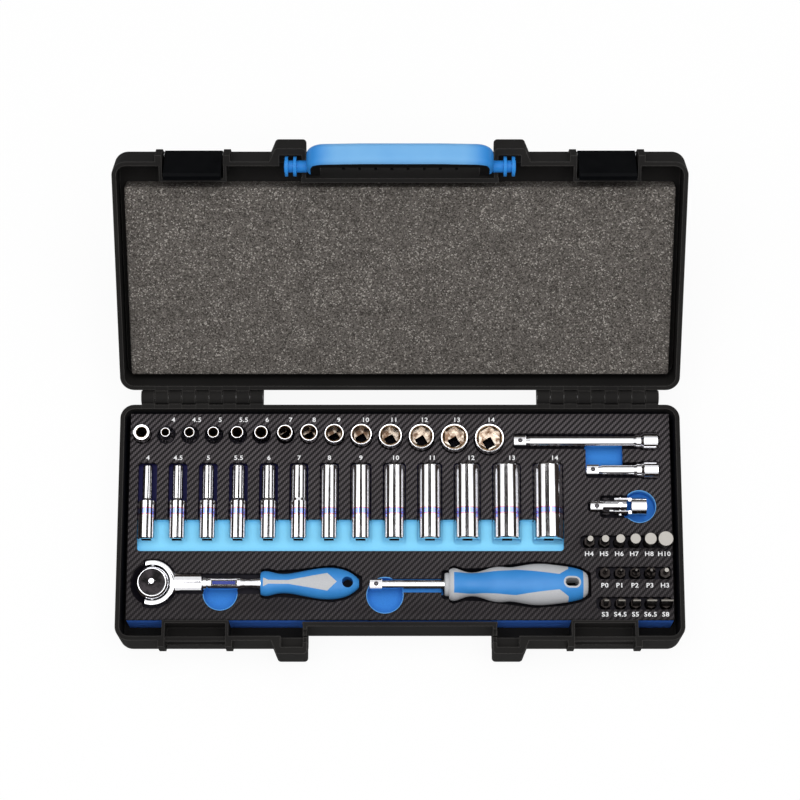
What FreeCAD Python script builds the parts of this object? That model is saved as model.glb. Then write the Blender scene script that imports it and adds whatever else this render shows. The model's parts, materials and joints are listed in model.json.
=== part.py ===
import FreeCAD, Part
import os
import re
import Sketcher
from FreeCAD import Placement, Rotation, Vector

# A quarter-inch-drive socket set in its folding plastic case, lid open.
# Frame: origin at the centre of the base's underside, +X right, +Y to the hinge, +Z up.
# Every lid piece is described with the lid closed, and its Placement swings it open.

DOC = FreeCAD.newDocument("socket_set_in_case")

SOCKET_FLATS = (4, 4.5, 5, 5.5, 6, 7, 8, 9, 10, 11, 12, 13, 14)
HEX_KEYS = (4, 5, 6, 7, 8, 10)
SHORT_HEX_KEY = 3
PHILLIPS = (0, 1, 2, 3)
SLOT_BLADES = (3, 4.5, 5, 6.5, 8)
KNUCKLES = 9
FINGER_RIBS = 8
# Grip sections: distance from the grip's front end, half width, half height.
RATCHET_GRIP = (
    (0, 7.4, 6),
    (4, 8.4, 6.8),
    (11, 6.9, 6.3),
    (26, 7.9, 6.8),
    (48, 10.6, 7.6),
    (58, 8.4, 6.4),
    (63, 5.4, 4.6),
    (65.8, 2.6, 2.4),
)
DRIVER_GRIP = (
    (0, 9.6, 9),
    (3, 11, 10),
    (10, 8.9, 8.4),
    (22, 9.2, 8.6),
    (40, 11.5, 10.2),
    (57, 13.8, 12),
    (78, 12.2, 10.6),
    (88, 10, 8.6),
    (93, 6, 5),
)

# Driving sizes in millimetres, angles in degrees.
SIZES = {
    # case
    "base_height": 38,
    "lid_height": 26,
    "case_wall": 3,
    "case_floor": 2.5,
    "lid_panel": 2.5,
    "corner_radius": 9.5,
    "edge_radius": 4,
    "parting_gap": 0.3,
    "lid_opening": 142.7,
    "overcut": 1,
    # hand recess, handle bosses and handle
    "recess_half": 62,
    "recess_depth": 9.5,
    "lid_recess_depth": 11.5,
    "boss_width": 25,
    "boss_proud": 9,
    "boss_slant": 5,
    "boss_foot": 5,
    "boss_skin": 2.5,
    "handle_inset": 3.2,
    "trunnion_radius": 4,
    "trunnion_reach": 14,
    "trunnion_clearance": 0.3,
    "flange_radius": 6.6,
    "flange_width": 2,
    "flange_near": 6,
    "flange_far": 11.5,
    "flange_play": 1,
    "handle_play": 0.8,
    "hub_radius": 6,
    "handle_swing": 139.7,
    "bail_corner": 12,
    "arm_width": 9,
    "arm_foot": 4,
    "grip_inner": 12.5,
    "grip_width": 11.5,
    "grip_back": 7.5,
    "grip_front": 7.5,
    "grip_rounding": 4,
    "grip_crown": 1.5,
    "finger_rib": 1.1,
    "finger_pitch": 10.5,
    # latches
    "latch_inset": 53.5,
    "latch_width": 38,
    "latch_play": 1.2,
    "latch_bay_depth": 11.7,
    "latch_pivot_rise": 20,
    "latch_pivot_inset": 1.5,
    "latch_drop": 29,
    "latch_plate": 3,
    "latch_offset": 1.8,
    "latch_barrel": 2.6,
    "latch_pin_radius": 1.5,
    "latch_lip": 1.5,
    "latch_lean": 18,
    "catch_top": 3,
    "catch_height": 3.5,
    "catch_clearance": 0.3,
    "latch_pocket_floor": 20,
    "bay_wall": 2,
    "latch_web": 6,
    "guard_width": 4.5,
    "guard_proud": 4.3,
    "guard_foot": 12,
    "guard_slope": 8,
    # hinges
    "hinge_offset": 5.2,
    "hinge_inset": 14,
    "hinge_length": 83,
    "knuckle_radius": 4.5,
    "knuckle_gap": 0.4,
    "hinge_pin_radius": 1.6,
    "stop_reach": 15.5,
    "stop_drop": 1.2,
    "stop_thick": 1.8,
    "pin_clearance": 0.05,
    # foam
    "foam_side_gap": 4,
    "lid_foam_front": 20.4,
    "lid_foam_back": 7.6,
    "lid_foam_recess": 9,
    "tray_side_gap": 3.8,
    "tray_front_gap": 14.8,
    "tray_back_gap": 5.2,
    "tray_top_drop": 5,
    "tray_skin": 3,
    "tray_floor_z": 15,
    "pocket_clearance": 0.5,
    "pocket_corner": 2.5,
    "slot_end_room": 2,
    "grip_clearance": 2.2,
    "seat_gap": 0.3,
    # sockets
    "drive_square": 6.35,
    "square_play": 0.15,
    "nose_slope": 1.33,
    "nose_base": 1.35,
    "drive_end": 11.8,
    "socket_chamfer": 0.7,
    "short_length": 25,
    "short_nose": 10,
    "short_turn": 30,
    "deep_length": 51,
    "deep_nose": 23,
    "shoulder": 2,
    "drive_depth": 10,
    "socket_inset": 8,
    "short_gap": 4.4,
    "short_back": 8.7,
    "label_room": 7.43,
    "deep_inset": 12.2,
    "deep_gap": 8.7,
    "deep_axis_drop": 1.5,
    "trough_lip": 8.1,
    "trough_reach": 13.9,
    "trough_margin": 0.2,
    "trough_depth": 8,
    "adapter_length": 25,
    "adapter_waist": 5,
    # bits
    "bit_flats": 6.35,
    "bit_shank": 18.5,
    "bit_length": 28,
    "bit_hole": 4.1,
    "bit_pitch": 10.1,
    "bit_right_inset": 5.2,
    "bit_gap": 11.7,
    "bit_row_half": 4.3,
    "bit_row_start": 6.2,
    "bit_row_depth": 5,
    "hex_front": 53.2,
    "phillips_front": 31.8,
    "slotted_front": 11.2,
    "point_core": 1.4,
    "point_step": 0.55,
    "point_end_share": 0.3,
    "flute_share": 0.25,
    "blade_root": 2.1,
    "blade_tip": 1,
    "key_chamfer": 0.15,
    # extension bars and universal joint
    "bar_inset": 7.7,
    "bar_gap": 4,
    "long_bar": 98,
    "short_bar": 49,
    "long_bar_back": 19.1,
    "short_bar_back": 39.2,
    "bar_radius": 3.8,
    "bar_neck": 3.1,
    "bar_end_radius": 6,
    "bar_end_length": 12,
    "bar_collar_length": 5,
    "bar_collar_radius": 4.7,
    "bar_taper": 3,
    "tip_length": 8,
    "bar_axis_drop": 1,
    "bar_scoop_width": 25,
    "scoop_depth": 10,
    "joint_inset": 17,
    "joint_back": 64.6,
    "joint_radius": 6.2,
    "joint_drive_body": 4.5,
    "joint_fork": 15,
    "joint_eye": 4,
    "joint_socket_body": 10,
    "joint_slot": 6.6,
    "cross_block": 6,
    "cross_pin": 1.6,
    "joint_room": 1.7,
    "joint_scoop_back": 4.5,
    "joint_scoop_radius": 10.8,
    # ratchet
    "ratchet_inset": 17.3,
    "ratchet_front": 24.5,
    "ratchet_to_trough": 22.3,
    "ratchet_axis_drop": 0,
    "head_radius": 11,
    "head_height": 11,
    "head_chamfer": 1.5,
    "head_play": 0.5,
    "well_room": 1.5,
    "fork_outer": 15.2,
    "fork_tip": 4.5,
    "fork_fillet": 10,
    "fork_thick": 9,
    "fork_room": 1.8,
    "split_width": 0.7,
    "split_depth": 0.6,
    "shank_half": 5.2,
    "shank_end": 33,
    "groove_width": 1,
    "groove_radius": 3.4,
    "ring_width": 2.2,
    "ring_radius": 4.5,
    "neck_radius": 4.2,
    "neck_length": 21.7,
    "neck_taper": 3,
    "throat_radius": 3.2,
    "throat_length": 4,
    "panel_inset": 2,
    "panel_half": 2.2,
    "panel_level": 3.2,
    "pivot_pin_radius": 1.8,
    "pivot_pin_depth": 3,
    "gear_radius": 8,
    "gear_height": 7.4,
    "gear_play": 0.1,
    "dial_radius": 9,
    "dial_height": 1.2,
    "thumb_bar_height": 0.8,
    "thumb_bar_half": 2.6,
    "thumb_bar_inset": 1,
    "button_radius": 2.4,
    "button_height": 1.6,
    "button_stem": 2,
    "button_gap": 0.4,
    "ratchet_grip_start": 72.6,
    "hang_hole_radius": 3.7,
    "hang_hole_back": 7.6,
    "inlay_level": 4.8,
    "inlay_front": 1.8,
    "inlay_front_half": 3,
    "inlay_neck": 5.3,
    "inlay_neck_half": 1.3,
    "inlay_flare": 18.6,
    "inlay_wide": 44.7,
    "inlay_half": 6,
    "inlay_end": 51.1,
    "ratchet_scoop_x": 45.4,
    "ratchet_scoop_radius": 11.2,
    "ratchet_scoop_shift": 6.6,
    # screwdriver-type handle
    "tool_gap": 7.4,
    "driver_front": 23.9,
    "driver_shaft_radius": 3,
    "driver_shaft_length": 42,
    "driver_tang": 30,
    "driver_tang_half": 2.2,
    "driver_collar_radius": 7.8,
    "driver_collar_width": 3,
    "driver_scoop_x": 10,
    "driver_scoop_radius": 12,
    "driver_scoop_shift": 7.3,
    "shaft_shift": 0.65,
    "driver_axis_drop": 0,
    "slot_start": 77.5,
    "slot_length": 9.2,
    "slot_half": 2.8,
    "slot_border": 1.2,
    "soft_front": 3.2,
    "soft_waist": 22,
    "soft_waist_half": 7,
    "soft_peak": 44.8,
    "soft_peak_half": 8.6,
    "soft_low": 73.4,
    "soft_low_half": 5.2,
    "soft_end": 79.6,
    "soft_end_half": 9.3,
    "end_cap": 89.6,
    "shaft_room": 1.75,
}


def tag(size):
    """A size as part of a name: 4.5 becomes 4_5."""
    return str(size).replace(".", "_")


for flats in SOCKET_FLATS:
    SIZES[f"flats_{tag(flats)}"] = flats
for flats in (SHORT_HEX_KEY,) + HEX_KEYS:
    SIZES[f"key_{tag(flats)}"] = flats
for blade in SLOT_BLADES:
    SIZES[f"blade_{tag(blade)}"] = blade
for grip, sections in (("ratchet", RATCHET_GRIP), ("driver", DRIVER_GRIP)):
    for index, (along_grip, half, rise) in enumerate(sections):
        SIZES[f"{grip}_station_{index}"] = along_grip
        SIZES[f"{grip}_half_{index}"] = half
        SIZES[f"{grip}_rise_{index}"] = rise

LARGEST = tag(SOCKET_FLATS[-1])
ALL_BODIES = " + ".join(f"body_{tag(flats)}" for flats in SOCKET_FLATS)

# Places and sizes that follow from the driving ones: the case is as wide as its longer row of tools.
LAYOUT = {
    "ratchet_last": f"ratchet_station_{len(RATCHET_GRIP) - 1}",
    "ratchet_reach": "ratchet_grip_start + ratchet_last",
    "driver_collar_x": "tip_length + driver_shaft_length",
    "driver_grip_start": "driver_collar_x + driver_collar_width",
    "driver_last": f"driver_station_{len(DRIVER_GRIP) - 1}",
    "driver_reach": "driver_grip_start + driver_last",
    "bit_rows": f"{len(SLOT_BLADES) - 1} * bit_pitch + bit_right_inset",
    "lower_row": "ratchet_inset + ratchet_reach + tool_gap + driver_reach + bit_gap + bit_rows",
    "socket_row": f"socket_inset + drive_radius + {len(SOCKET_FLATS)} * short_gap + 2 * ({ALL_BODIES})",
    "upper_row": "socket_row + bar_gap + long_bar + bar_inset",
    "tray_half": "max(lower_row; upper_row) / 2",
    "half_width": "tray_half + tray_side_gap + case_wall",
    "tray_depth": "ratchet_front + ratchet_to_trough + trough_lip + deep_length + label_room + short_room",
    "short_room": f"2 * body_{LARGEST} + short_back",
    "half_depth": "(tray_front_gap + tray_depth + tray_back_gap) / 2",
    "tray_front_y": "tray_front_gap - half_depth",
    "tray_back_y": "half_depth - tray_back_gap",
    "tray_z": "base_height - tray_top_drop",
    "tray_split": "tray_z - tray_skin",
    "lid_rim": "base_height + parting_gap",
    "lid_top": "lid_rim + lid_height",
    "hinge_y": "half_depth + hinge_offset",
    "hinge_z": "base_height + parting_gap / 2",
    "hinge_start": "half_width - hinge_inset - hinge_length",
    "stop_z": "hinge_z - knuckle_radius - stop_drop",
    "boss_outer": "recess_half + boss_width",
    "boss_front": "-half_depth - boss_proud",
    "handle_y": "-half_depth + handle_inset",
    "handle_z": "base_height + parting_gap / 2",
    "latch_x": "half_width - latch_inset",
    "latch_bay_half": "latch_width / 2 + latch_play",
    "latch_bay_y": "-half_depth + latch_bay_depth",
    "latch_pin_y": "-half_depth + latch_pivot_inset",
    "latch_pin_z": "lid_rim + latch_pivot_rise",
    "latch_plate_y": "latch_pin_y - latch_offset",
    "latch_foot": "latch_pin_z - latch_drop",
    "bay_top": "lid_top - lid_panel",
    "catch_top_z": "base_height - catch_top",
    "catch_foot_z": "catch_top_z - catch_height",
    "foam_half": "half_width - case_wall - foam_side_gap",
    "foam_front_y": "lid_foam_front - half_depth",
    "foam_back_y": "half_depth - lid_foam_back",
    "foam_z": "lid_rim + lid_foam_recess",
    "square_half": "drive_square / 2",
    "socket_square_half": "drive_square / 2 + square_play",
    "drive_radius": "drive_end / 2",
    "short_first_x": "socket_inset - tray_half",
    "short_back_y": "tray_back_y - short_back",
    "deep_first_x": "deep_inset - tray_half",
    "deep_axis_z": "tray_z - deep_axis_drop",
    "deep_back_y": f"short_back_y - 2 * body_{LARGEST} - label_room",
    "deep_front_y": "deep_back_y - deep_length",
    "trough_front_y": "deep_front_y - trough_lip",
    "trough_back_y": "deep_front_y + trough_reach",
    "bar_axis_z": "tray_z - bar_axis_drop",
    "bar_end_x": "tray_half - bar_inset",
    "long_bar_y": "tray_back_y - long_bar_back",
    "short_bar_y": "tray_back_y - short_bar_back",
    "joint_length": "tip_length + joint_drive_body + joint_fork + joint_socket_body",
    "joint_pivot": "tip_length + joint_drive_body + joint_fork / 2",
    "joint_x": "tray_half - joint_inset - joint_length",
    "joint_y": "tray_back_y - joint_back",
    "ratchet_x": "ratchet_inset - tray_half",
    "ratchet_y": "tray_front_y + ratchet_front",
    "ratchet_z": "tray_z - ratchet_axis_drop",
    "ratchet_depth": "max(" + "; ".join(f"ratchet_rise_{i}" for i in range(len(RATCHET_GRIP))) + ")",
    "head_top": "head_height / 2",
    "well_radius": "head_top + tip_length + well_room",
    "fork_inner": "sqrt(head_radius ^ 2 + (head_top - head_chamfer) ^ 2) + head_play",
    "fork_fillet_x": "sqrt((fork_outer + fork_fillet) ^ 2 - (shank_half + fork_fillet) ^ 2)",
    "fork_touch": "fork_outer / (fork_outer + fork_fillet)",
    "ring_start": "shank_end + groove_width",
    "ring_end": "ring_start + ring_width",
    "neck_start": "ring_end + groove_width",
    "neck_end": "neck_start + neck_length",
    "throat_start": "neck_end + neck_taper",
    "tang_end": "ratchet_grip_start + ratchet_station_2",
    "driver_x": "ratchet_x + ratchet_reach + tool_gap",
    "driver_y": "tray_front_y + driver_front",
    "driver_z": "tray_z - driver_axis_drop",
    "driver_depth": "max(" + "; ".join(f"driver_rise_{i}" for i in range(len(DRIVER_GRIP))) + ")",
    "driver_wide": "max(" + "; ".join(f"driver_half_{i}" for i in range(len(DRIVER_GRIP))) + ")",
    "last_bit_x": "tray_half - bit_right_inset",
    "hex_row_y": "tray_front_y + hex_front",
    "phillips_row_y": "tray_front_y + phillips_front",
    "slotted_row_y": "tray_front_y + slotted_front",
}


def lay_out_sockets():
    """Outer sizes and the running place of each socket along its row."""
    previous = ""
    for flats in SOCKET_FLATS:
        name = tag(flats)
        LAYOUT[f"nose_{name}"] = f"(flats_{name} * nose_slope + nose_base) / 2"
        LAYOUT[f"body_{name}"] = f"max(nose_{name}; drive_radius)"
        if previous:
            reach = f"body_{previous} + body_{name}"
            LAYOUT[f"short_x_{name}"] = f"short_x_{previous} + {reach} + short_gap"
            LAYOUT[f"deep_x_{name}"] = f"deep_x_{previous} + {reach} + deep_gap"
        else:
            LAYOUT[f"short_x_{name}"] = "short_first_x + drive_end + short_gap"
            LAYOUT[f"deep_x_{name}"] = "deep_first_x"
        LAYOUT[f"short_y_{name}"] = f"short_back_y - body_{name}"
        previous = name


lay_out_sockets()


def expand(formula):
    """Write each named size in a formula as a reference to its sheet."""
    def place(match):
        word = match.group(0)
        if word in SIZES:
            return f"Sizes.{word}"
        return f"Layout.{word}" if word in LAYOUT else word
    return re.sub(r"[A-Za-z_]\w*", place, str(formula))


def fill_sheet(name, cells):
    sheet = DOC.addObject("Spreadsheet::Sheet", name)
    for row, (alias, content) in enumerate(cells.items(), start=1):
        sheet.set(f"A{row}", alias)
        sheet.set(f"B{row}", content)
        sheet.setAlias(f"B{row}", alias)
    DOC.recompute()
    return sheet


SHEET = fill_sheet("Sizes", {alias: str(size) for alias, size in SIZES.items()})
fill_sheet("Layout", {alias: "=" + expand(formula) for alias, formula in LAYOUT.items()})


def number(formula):
    return float(SHEET.evalExpression(expand(formula)))


# Building blocks: each size and place is a formula bound to the sheets.

def bind(thing, **formulas):
    for path, formula in formulas.items():
        thing.setExpression(path.replace("__", "."), expand(formula))
    return thing


def place(thing, x="0", y="0", z="0"):
    return bind(thing, Placement__Base__x=x, Placement__Base__y=y, Placement__Base__z=z)


def block(name, x, y, z):
    """A box between pairs of formulas."""
    solid = DOC.addObject("Part::Box", name)
    bind(solid, Length=f"({x[1]}) - ({x[0]})", Width=f"({y[1]}) - ({y[0]})", Height=f"({z[1]}) - ({z[0]})")
    return place(solid, x[0], y[0], z[0])


AXES = {"x": Vector(1, 0, 0), "y": Vector(0, 1, 0), "z": Vector(0, 0, 1)}


def rod(name, axis, start, length, radius):
    """A cylinder from a start point along one of the axes."""
    solid = DOC.addObject("Part::Cylinder", name)
    solid.Placement = Placement(Vector(), Rotation(AXES["z"], AXES[axis]))
    bind(solid, Radius=radius, Height=length)
    return place(solid, *start)


def prism(name, start, length, flats):
    """An upright hexagonal prism, two of its flats facing along X."""
    solid = DOC.addObject("Part::Prism", name)
    solid.Polygon = 6
    solid.Placement = Placement(Vector(), Rotation(AXES["z"], 30))
    bind(solid, Circumradius=f"({flats}) / sqrt(3)", Height=length)
    return place(solid, *start)


def fuse(name, solids):
    joined = DOC.addObject("Part::MultiFuse", name)
    joined.Shapes = solids
    joined.Refine = True
    return joined


def cut(name, base, tools):
    result = DOC.addObject("Part::Cut", name)
    result.Base = base
    result.Tool = tools[0] if len(tools) == 1 else fuse(name + "_cutters", tools)
    result.Refine = True
    return result


def common(name, one, other):
    result = DOC.addObject("Part::Common", name)
    result.Base = one
    result.Tool = other
    return result


def group(name, solids):
    result = DOC.addObject("Part::Compound", name)
    result.Links = solids
    return result


def sketch(body, plane, points, height="0"):
    """A closed outline on one of the body's planes, each corner tied to the sheets."""
    support = [feature for feature in body.Origin.OriginFeatures if feature.Role == plane]
    outline = body.newObject("Sketcher::SketchObject", body.Name + "_outline")
    outline.AttachmentSupport = [(support[0], "")]
    outline.MapMode = "FlatFace"
    bind(outline, AttachmentOffset__Base__z=height)
    corners = [Vector(number(x), number(y), 0) for x, y in points]
    following = corners[1:] + corners[:1]
    outline.addGeometry([Part.LineSegment(a, b) for a, b in zip(corners, following)])
    last = len(points) - 1
    ties = [Sketcher.Constraint("Coincident", i, 2, 0 if i == last else i + 1, 1) for i in range(len(points))]
    outline.addConstraint(ties)
    for i, (corner, formulas) in enumerate(zip(corners, points)):
        for kind, at, formula in zip(("DistanceX", "DistanceY"), (corner.x, corner.y), formulas):
            index = outline.addConstraint(Sketcher.Constraint(kind, i, 1, at))
            outline.renameConstraint(index, f"{kind}{i}")
            outline.setExpression(f"Constraints.{kind}{i}", expand(formula))
    return outline


def new_body(name):
    return DOC.addObject("PartDesign::Body", name)


def pad(body, plane, points, length, height="0", reverse=False):
    feature = body.newObject("PartDesign::Pad", body.Name + "_pad")
    feature.Profile = sketch(body, plane, points, height)
    feature.Reversed = reverse
    return bind(feature, Length=length)


def pocket(body, plane, points, depth, height="0", reverse=False):
    feature = body.newObject("PartDesign::Pocket", body.Name + "_pocket")
    feature.Profile = sketch(body, plane, points, height)
    feature.Reversed = reverse
    return bind(feature, Length=depth)


def turn(body, plane, points, axis, kind="Revolution"):
    """A full revolution of an outline about its sketch's own axis; kind Groove takes it away."""
    feature = body.newObject("PartDesign::" + kind, body.Name + "_turned")
    feature.Profile = sketch(body, plane, points)
    feature.ReferenceAxis = (feature.Profile[0], [axis])
    feature.Angle = 360
    return feature


def round_edges(body, feature, radius, wanted):
    """Fillet the edges of a feature that a test picks out."""
    DOC.recompute()
    names = [f"Edge{i}" for i, edge in enumerate(feature.Shape.Edges, start=1) if wanted(edge)]
    fillet = body.newObject("PartDesign::Fillet", body.Name + "_rounding")
    fillet.Base = (feature, names)
    return bind(fillet, Radius=radius)


def along(edge, axis):
    direction = edge.Vertexes[-1].Point.sub(edge.Vertexes[0].Point)
    return direction.Length > 0 and abs(direction.normalize().dot(AXES[axis])) > 0.999


def rectangle(x, y):
    return [(x[0], y[0]), (x[1], y[0]), (x[1], y[1]), (x[0], y[1])]


def centred_square(half):
    return rectangle((f"-{half}", half), (f"-{half}", half))


def hexagon(flats):
    """Corners of a hexagon of the given size across flats, two corners on the first axis."""
    corner = f"{flats} / sqrt(3)"
    return [
        (corner, "0"),
        (f"{corner} / 2", f"{flats} / 2"),
        (f"-{corner} / 2", f"{flats} / 2"),
        (f"-{corner}", "0"),
        (f"-{corner} / 2", f"-{flats} / 2"),
        (f"{corner} / 2", f"-{flats} / 2"),
    ]


NODES = {}


def node(label, thing):
    """Register a finished sub-part under the name of its file."""
    thing.Label = label
    NODES[label] = thing
    return thing


def sides(make):
    """Make a feature on the right and then on the left of the case."""
    return [make("right", "1"), make("left", "-1")]


def span(sign, low, high):
    """An X range on one side, low to high counted outwards from the centre."""
    return (low, high) if sign == "1" else (f"-({high})", f"-({low})")


# Case shells

def tub(name, floor, top, skin, opens_up):
    """A rounded tray moulding with an open side."""
    body = new_body(name)
    outer = rectangle(("-half_width", "half_width"), ("-half_depth", "half_depth"))
    solid = pad(body, "XY_Plane", outer, f"({top}) - ({floor})", floor)
    rounded = round_edges(body, solid, "corner_radius", lambda edge: along(edge, "z"))
    shut_side = number(floor if opens_up else top)
    rounded = round_edges(
        body, rounded, "edge_radius", lambda edge: abs(edge.CenterOfMass.z - shut_side) < 0.001
    )
    inner_x = ("case_wall - half_width", "half_width - case_wall")
    inner_y = ("case_wall - half_depth", "half_depth - case_wall")
    depth = f"({top}) - ({floor}) - {skin}"
    inner = rectangle(inner_x, inner_y)
    hollow = pocket(body, "XY_Plane", inner, depth, top if opens_up else floor, reverse=not opens_up)
    inside = number("half_width - case_wall")
    round_edges(
        body,
        hollow,
        "corner_radius - case_wall",
        lambda edge: along(edge, "z") and abs(abs(edge.CenterOfMass.x) - inside) < 0.001,
    )
    return body


def boss(name, sign, z):
    """A handle boss: square to the hand recess, slanted on its outer side."""
    body = new_body(name)
    flank = [
        (f"{sign} * recess_half", "boss_front"),
        (f"{sign} * (boss_outer - boss_slant)", "boss_front"),
        (f"{sign} * boss_outer", "case_wall - half_depth"),
        (f"{sign} * recess_half", "case_wall - half_depth"),
    ]
    solid = pad(body, "XY_Plane", flank, f"({z[1]}) - ({z[0]})", z[0])
    round_edges(
        body, solid, "boss_skin", lambda edge: abs(edge.CenterOfMass.y - number("boss_front")) < 0.001
        and along(edge, "z")
    )
    return body


def knuckles(name, first, z, bore):
    """Every second hinge knuckle of both hinges, with the arms that carry them, and the bores."""
    solids, bores = [], []
    pitch = f"(hinge_length / {KNUCKLES})"
    for side, sign in (("right", "1"), ("left", "-1")):
        for index in range(first, KNUCKLES, 2):
            low = f"hinge_start + {index} * {pitch} + knuckle_gap / 2"
            high = f"hinge_start + {index + 1} * {pitch} - knuckle_gap / 2"
            x = span(sign, low, high)
            start, width = (x[0], "hinge_y", "hinge_z"), f"{pitch} - knuckle_gap"
            solids.append(rod(f"{name}_knuckle_{side}_{index}", "x", start, width, "knuckle_radius"))
            solids.append(block(f"{name}_arm_{side}_{index}", x, ("half_depth - case_wall", "hinge_y"), z))
        x = span(sign, "hinge_start - overcut", "hinge_start + hinge_length + overcut")
        start = (x[0], "hinge_y", "hinge_z")
        bores.append(rod(f"{name}_bore_{side}", "x", start, "hinge_length + 2 * overcut", bore))
    return solids, bores


def lid_stops():
    """Ledges under the hinges, which the open lid's back wall comes to rest on."""
    y = ("half_depth - case_wall", "half_depth + stop_reach")
    z = ("stop_z - stop_thick", "stop_z")
    row = ("hinge_start", "hinge_start + hinge_length")
    return sides(lambda side, sign: block(f"lid_stop_{side}", span(sign, *row), y, z))


def guard_ribs(name, low, high, slope_at_low):
    """Ribs that stand proud on both sides of each latch, sloped off at the end away from the parting line."""
    ribs = []
    proud, wall, root = "-half_depth - guard_proud", "-half_depth", "case_wall / 2 - half_depth"
    if slope_at_low:
        profile = [(root, low), (wall, low), (proud, f"{low} + guard_slope"), (proud, high), (root, high)]
    else:
        profile = [(root, low), (proud, low), (proud, f"{high} - guard_slope"), (wall, high), (root, high)]
    for index, edge in enumerate(("latch_bay_half", "-latch_bay_half - guard_width")):
        for side, sign in (("right", "1"), ("left", "-1")):
            body = new_body(f"{name}_guard_{side}_{index}")
            pad(body, "YZ_Plane", profile, "guard_width", f"{sign} * latch_x + {edge}")
            ribs.append(body)
    return ribs


def trunnion_bays(name, low, high):
    """Room in the handle bosses for the trunnions, and the half-round bearings in their inner walls."""
    rooms = []
    reach = "flange_radius + flange_play"
    for side, sign in (("right", "1"), ("left", "-1")):
        x = span(sign, "recess_half + boss_skin", "boss_outer - boss_slant - boss_skin")
        y = (f"handle_y - ({reach})", f"handle_y + {reach}")
        rooms.append(block(f"{name}_bay_{side}", x, y, (low, high)))
        x = span(sign, "recess_half - overcut", "recess_half + boss_skin + overcut")
        bearing = "trunnion_radius + trunnion_clearance"
        start = (x[0], "handle_y", "handle_z")
        rooms.append(rod(f"{name}_bearing_{side}", "x", start, "boss_skin + 2 * overcut", bearing))
    return rooms


def latch_blocks(name, z):
    """Walls round the latch bays."""
    solids = []
    half = "(latch_bay_half + bay_wall)"
    for side, sign in (("right", "1"), ("left", "-1")):
        x = (f"{sign} * latch_x - {half}", f"{sign} * latch_x + {half}")
        y = ("case_wall / 2 - half_depth", "latch_bay_y + bay_wall")
        solids.append(block(f"{name}_latch_block_{side}", x, y, z))
    return solids


def latch_room(name, y, z):
    """Cutters the width of both latch bays."""
    rooms = []
    for side, sign in (("right", "1"), ("left", "-1")):
        x = (f"{sign} * latch_x - latch_bay_half", f"{sign} * latch_x + latch_bay_half")
        rooms.append(block(f"{name}_{side}", x, y, z))
    return rooms


def base_shell():
    tub_body = tub("base_tub", "0", "base_height", "case_floor", True)
    hand_wall = block(
        "base_hand_wall",
        ("-recess_half - case_wall", "recess_half + case_wall"),
        ("edge_radius - half_depth", "recess_depth + case_wall - half_depth"),
        ("0", "base_height"),
    )
    bosses = sides(lambda side, sign: boss(f"base_boss_{side}", sign, ("boss_foot", "base_height")))
    arms, bores = knuckles("base", 0, ("hinge_z - knuckle_radius", "hinge_z"), "hinge_pin_radius")
    solids = [tub_body, hand_wall, *bosses, *arms, *lid_stops()]
    solids += latch_blocks("base", ("case_floor / 2", "base_height"))
    solids += guard_ribs("base", "guard_foot", "base_height", True)
    hand = block(
        "base_hand_recess",
        ("-recess_half", "recess_half"),
        ("boss_front - overcut", "recess_depth - half_depth"),
        ("-overcut", "base_height + overcut"),
    )
    above = "base_height + overcut"
    outside = ("-half_depth - overcut", "case_wall - half_depth")
    rooms = [hand, *bores]
    inside = ("case_wall - half_depth", "latch_bay_y")
    rooms += latch_room("base_latch_pocket", inside, ("latch_pocket_floor", above))
    rooms += latch_room("base_latch_window", outside, ("latch_pocket_floor", "catch_foot_z"))
    rooms += latch_room("base_latch_notch", outside, ("catch_top_z", above))
    rooms += trunnion_bays("base", "handle_z - flange_radius - flange_play", above)
    return node("base_shell", cut("base_shell", fuse("base_moulding", solids), rooms))


def lid_swing():
    pivot = Vector(0, number("hinge_y"), number("hinge_z"))
    return Placement(Vector(), Rotation(Vector(-1, 0, 0), number("lid_opening")), pivot)


def lid_shell():
    tub_body = tub("lid_tub", "lid_rim", "lid_top", "lid_panel", False)
    hand_wall = block(
        "lid_hand_wall",
        ("-recess_half - case_wall", "recess_half + case_wall"),
        ("edge_radius - half_depth", "lid_recess_depth + case_wall - half_depth"),
        ("lid_rim", "lid_top"),
    )
    bosses = sides(lambda side, sign: boss(f"lid_boss_{side}", sign, ("lid_rim", "lid_top - boss_foot")))
    arm_z = ("hinge_z", "hinge_z + knuckle_radius")
    arms, bores = knuckles("lid", 1, arm_z, "hinge_pin_radius + pin_clearance")
    solids = [tub_body, hand_wall, *bosses, *arms]
    solids += latch_blocks("lid", ("lid_rim", "lid_top - lid_panel / 2"))
    solids += guard_ribs("lid", "lid_rim", "lid_top - edge_radius", False)
    hand = block(
        "lid_hand_recess",
        ("-recess_half", "recess_half"),
        ("boss_front - overcut", "lid_recess_depth - half_depth"),
        ("lid_rim - overcut", "lid_top + overcut"),
    )
    below = "lid_rim - overcut"
    rooms = [hand, *bores]
    rooms += latch_room("lid_latch_bay", ("-half_depth - overcut", "latch_bay_y"), (below, "bay_top"))
    rooms += trunnion_bays("lid", below, "handle_z + flange_radius + flange_play")
    rooms += latch_pin_rods("lid_latch_pin_hole", "latch_pin_radius")
    shell = cut("lid_shell", fuse("lid_moulding", solids), rooms)
    shell.Placement = lid_swing()
    return node("lid_shell", shell)


def latch_pin_rods(name, radius):
    length = "(2 * (latch_bay_half + bay_wall))"
    pins = []
    for side, sign in (("right", "1"), ("left", "-1")):
        start = (f"{sign} * latch_x - {length} / 2", "latch_pin_y", "latch_pin_z")
        pins.append(rod(f"{name}_{side}", "x", start, length, radius))
    return pins


def latch_pins():
    pins = node("latch_pins", group("latch_pins", latch_pin_rods("latch_pin", "latch_pin_radius")))
    pins.Placement = lid_swing()


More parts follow.
